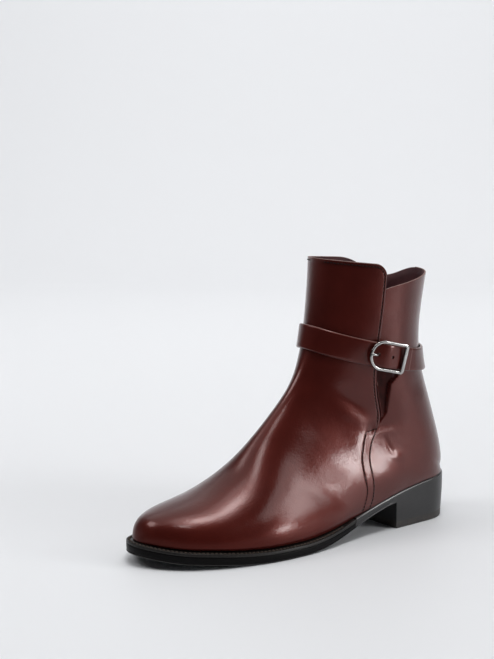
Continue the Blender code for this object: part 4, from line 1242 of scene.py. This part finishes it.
def tinted(tree, base, share, colour, strength):
    """Base colour with another laid over it by a share from 0 to 1."""
    factor = tree.nodes.new("ShaderNodeMath")
    factor.operation = "MULTIPLY"
    factor.use_clamp = True
    tree.links.new(share, factor.inputs[0])
    factor.inputs[1].default_value = strength
    made = tree.nodes.new("ShaderNodeMix")
    made.data_type = "RGBA"
    tree.links.new(factor.outputs[0], made.inputs[0])
    tree.links.new(base, made.inputs[6])
    made.inputs[7].default_value = (*colour, 1.0)
    return made.outputs[2]


def spread_to(tree, value, low, high):
    """Value from 0 to 1 mapped to a range."""
    made = add(tree, "ShaderNodeMapRange", To_Min=low, To_Max=high)
    tree.links.new(value, made.inputs["Value"])
    return made.outputs["Result"]


def bumped(tree, surface, layers):
    """Bump from rows of height, strength and depth in metres, one over the other."""
    normal = None
    for height, strength, depth in layers:
        made = add(tree, "ShaderNodeBump", Strength=strength, Distance=depth)
        tree.links.new(height, made.inputs["Height"])
        if normal is not None:
            tree.links.new(normal, made.inputs["Normal"])
        normal = made.outputs["Normal"]
    tree.links.new(normal, surface.inputs["Normal"])
    tree.links.new(normal, surface.inputs["Coat Normal"])


def calf_leather(name, tints, waves, grain):
    """Polished calf: patina in patches, tints by marks, slight waviness, grain and fine pores."""
    made, tree, surface = blank_material(name)
    patina = noise(tree, 26.0, 4.0, 0.55)
    colour = ramp(tree, patina, ((0.30, OXBLOOD_DEEP), (0.52, OXBLOOD), (0.74, OXBLOOD_BRIGHT)))
    for mark_name, tint, strength in tints:
        colour = tinted(tree, colour, mark(tree, mark_name), tint, strength)
    tree.links.new(colour, surface.inputs["Base Color"])
    tree.links.new(spread_to(tree, noise(tree, 160.0, 3.0), 0.28, 0.36), surface.inputs["Roughness"])
    set_values(surface, Specular_IOR_Level=0.45, Specular_Tint=(*OXBLOOD_SHEEN, 1.0),
               Coat_Weight=POLISH, Coat_Roughness=0.13, Coat_IOR=1.45)
    wave_scale, wave_depth = waves
    grain_scale, grain_strength = grain
    bumped(tree, surface, ((noise(tree, wave_scale, 2.0), 0.2, wave_depth),
                           (noise(tree, grain_scale, 2.0, 0.6), grain_strength, 0.00016),
                           (cells(tree, 1500.0), 0.16, 0.00012)))
    return made, tree, surface


def upper_look():
    """Calf of the upper, burnished and with less polish along the welt."""
    tints = (("dark", OXBLOOD_DEEP, 0.85), ("seam", SEAM_SHADE, 0.8))
    made, tree, surface = calf_leather("oxblood_calf", tints, (110.0, 0.0005), (740.0, 0.40))
    polish = spread_to(tree, mark(tree, "dull"), POLISH, POLISH_DULL)
    tree.links.new(polish, surface.inputs["Coat Weight"])
    return made


def strap_look():
    """Calf of the strap: paler cut colour at the tail's end and along the top edge, where it is partly a
    painted highlight, and painted shade in its holes.
    """
    tints = (("edge", CUT_EDGE_AND_HIGHLIGHT, 0.8), ("hole", SEAM_SHADE, 1.0))
    return calf_leather("oxblood_strap", tints, (150.0, 0.0004), (620.0, 0.30))[0]


def matt_look(name, grain, dark, light, roughness, bumps, shine=0.5):
    """Two tones of one noise; bumps are rows of texture, its numbers, strength and depth."""
    made, tree, surface = blank_material(name)
    tone = ramp(tree, noise(tree, *grain), ((0.3, dark), (0.7, light)))
    tree.links.new(tone, surface.inputs["Base Color"])
    set_values(surface, Roughness=roughness, Specular_IOR_Level=shine)
    bumped(tree, surface, [(texture(tree, *numbers), *size) for texture, numbers, *size in bumps])
    return made


def gusset_shade_look():
    """Inside of the fold behind the lap: a darker, matt copy of the calf, painted shade in the recess."""
    return matt_look("gusset_calf_painted_shade", (220.0, 3.0), (0.020, 0.0026, 0.0022), (0.040, 0.0056, 0.0044), 0.5,
                     [(noise, (620.0, 2.0, 0.6), 0.4, 0.0002)], 0.08)


# Collar rim: the cut edge's paler colour, pitched partly as a painted highlight
def cut_edge_highlight_look():
    return matt_look("cut_leather_edge_highlight", (420.0, 3.0), (0.11, 0.050, 0.042), CUT_EDGE_AND_HIGHLIGHT, 0.55,
                     [(noise, (900.0, 3.0), 0.4, 0.0002)])


def lining_look():
    return matt_look("lining_leather", (60.0, 4.0), (0.034, 0.0095, 0.012), (0.074, 0.021, 0.024), 0.55,
                     [(noise, (260.0, 3.0), 0.35, 0.0004), (cells, (1100.0,), 0.2, 0.00015)], 0.2)


def insole_look():
    return matt_look("insole_leather", (45.0, 4.0), (0.060, 0.032, 0.030), (0.105, 0.060, 0.054), 0.6,
                     [(noise, (500.0, 3.0), 0.3, 0.0002), (cells, (1200.0,), 0.2, 0.00015)])


def black_leather(name, dark, light, roughness, fibre_stretch, shine):
    """Black-dressed leather edge with fibres running along it."""
    made, tree, surface = blank_material(name)
    fibres = noise(tree, 240.0, 4.0, 0.6, (1, 1, fibre_stretch))
    tree.links.new(ramp(tree, fibres, ((0.3, dark), (0.75, light))), surface.inputs["Base Color"])
    tree.links.new(spread_to(tree, noise(tree, 90.0, 3.0), *roughness), surface.inputs["Roughness"])
    set_values(surface, Specular_IOR_Level=shine)
    bumped(tree, surface, ((fibres, 0.12, 0.0002), (noise(tree, 900.0, 2.0), 0.15, 0.0001)))
    return made


def thread_look(name, colour):
    return matt_look(name, (1800.0, 2.0), tuple(0.6 * c for c in colour), colour, 0.7,
                     [(noise, (2600.0, 1.0), 0.4, 0.0001)], 0.2)


def metal_look(name):
    """Polished nickel with a faint brushed grain."""
    made, tree, surface = blank_material(name)
    tone = ramp(tree, noise(tree, 180.0, 3.0), ((0.3, (0.34, 0.33, 0.325)), (0.7, (0.45, 0.44, 0.43))))
    tree.links.new(tone, surface.inputs["Base Color"])
    set_values(surface, Metallic=1.0)
    tree.links.new(spread_to(tree, noise(tree, 500.0, 3.0), 0.08, 0.15), surface.inputs["Roughness"])
    bumped(tree, surface, ((noise(tree, 700.0, 2.0, 0.5, (1, 6, 1)), 0.08, 0.0001),))
    return made


def rubber_look():
    return matt_look("black_rubber", (300.0, 4.0), (0.012, 0.010, 0.009), (0.026, 0.020, 0.016), 0.5,
                     [(noise, (1200.0, 3.0), 0.3, 0.0002)])


def build_boot():
    """All pieces of the boot with their materials."""
    make_upper([upper_look(), cut_edge_highlight_look(), lining_look(), gusset_shade_look()])
    make_upper_stitching(thread_look("dark_thread", DARK_THREAD))
    make_strap(strap_look())
    black = {name: black_leather(name, *row) for name, row in BLACK_LEATHERS.items()}
    make_outsole([black["fore_edge_painted_shade"], black["heel_stack"], black["bead_painted_highlight"]])
    make_welt(black["welt_top"])
    make_welt_stitching(thread_look("welt_thread", WELT_THREAD))
    make_insole(insole_look())
    heel_block("heel_stack", "heel_leather", "heel", lift_top, sole_under, 0.0, black["heel_stack"])
    heel_block("heel_top_lift", "lift_rubber", "heel_lift", np.zeros_like, lift_top, LIFT_BEVEL,
               rubber_look())
    make_buckle_frame(metal_look("polished_nickel"))
    make_buckle_prong(metal_look("polished_nickel_prong"))


def staged(right, behind, up):
    """Place in the studio as the camera sees it, in metres from the boot's middle."""
    return RIGHT * right + BEHIND * behind + Vector((0, 0, up))


def make_stage():
    """Pale floor that curves up into a backdrop behind the boot; it ends a little in front of it."""
    profile = [(FLOOR_FRONT, 0.0), (FLOOR_FLAT, 0.0)]
    for turn in np.linspace(0, 0.5 * math.pi, 16):
        profile.append((FLOOR_FLAT + FLOOR_CURVE * math.sin(turn), FLOOR_CURVE * (1 - math.cos(turn))))
    profile.append((FLOOR_FLAT + FLOOR_CURVE, BACKDROP_HIGH))
    points = [staged(side, back, up) for back, up in profile for side in (-FLOOR_HALF, FLOOR_HALF)]
    faces = [(i, i + 1, i + 3, i + 2) for i in range(0, len(points) - 2, 2)]
    mesh = bpy.data.meshes.new("floor")
    mesh.from_pydata(points, [], faces)
    mesh.shade_smooth()
    made, _, surface = blank_material("pale_floor")
    set_values(surface, Base_Color=(*FLOOR_COLOUR, 1.0), Roughness=0.55)
    mesh.materials.append(made)
    floor = bpy.data.objects.new("floor", mesh)
    bpy.context.scene.collection.objects.link(floor)


def area_light(name, place, target, across, size, power, shape="RECTANGLE"):
    """Soft box at a place, facing a target; the first side of its size lies along across."""
    data = bpy.data.lights.new(name, "AREA")
    data.shape = shape
    data.size, data.size_y = size
    data.energy = power
    lamp = bpy.data.objects.new(name, data)
    back = (place - target).normalized()
    side = (across - back * across.dot(back)).normalized()
    turn = Matrix((side, back.cross(side), back)).transposed()
    lamp.matrix_world = Matrix.Translation(place) @ turn.to_4x4()
    bpy.context.scene.collection.objects.link(lamp)


def make_lights():
    """Soft boxes round the boot, a light on the backdrop and a faint world."""
    boot = staged(0.0, 0.0, 0.06)
    area_light("overhead", staged(0.12, -0.22, 1.56), boot, RIGHT, (0.42, 0.42), 4.4, "ELLIPSE")
    area_light("overhead_glow", staged(0.05, -0.16, 1.62), boot, RIGHT, (1.0, 1.0), 4.6, "ELLIPSE")
    area_light("front_box", staged(-0.14, -0.70, 1.50), boot, RIGHT, (0.40, 0.26), 2.1, "ELLIPSE")
    area_light("left_box", staged(-1.0, -0.09, 1.0), boot, BEHIND, (0.56, 0.56), 4.0, "ELLIPSE")
    area_light("window", staged(2.20, -0.53, 0.84), boot, BEHIND, (0.55, 0.90), 11.6)
    area_light("window_glow", staged(1.77, -0.90, 1.40), boot, BEHIND, (0.85, 0.85), 4.6, "ELLIPSE")
    area_light("window_foot", staged(2.04, -0.80, 0.16), boot, BEHIND, (0.30, 0.26), 8.0)
    area_light("top_fill", staged(0.1, 0.5, 2.2), boot, RIGHT, (4.0, 3.0), 28.0)
    area_light("backdrop_light", staged(0.0, 0.7, 1.5), staged(0.0, 2.3, 0.8), RIGHT, (3.4, 0.4), 24.5)
    world = bpy.data.worlds.new("studio")
    world.use_nodes = True
    backing = world.node_tree.nodes["Background"]
    set_values(backing, Color=(*WORLD_COLOUR, 1.0), Strength=WORLD_STRENGTH)
    bpy.context.scene.world = world


def make_camera():
    """Camera at the photograph's place."""
    data = bpy.data.cameras.new("camera")
    data.lens = CAMERA_LENS
    data.sensor_width = SENSOR
    camera = bpy.data.objects.new("camera", data)
    camera.location = CAMERA_PLACE
    camera.rotation_euler = [math.radians(turn) for turn in CAMERA_TURN]
    bpy.context.scene.collection.objects.link(camera)
    bpy.context.scene.camera = camera


make_camera()
build_boot()
make_stage()
make_lights()
bpy.context.scene.view_settings.view_transform = "Standard"
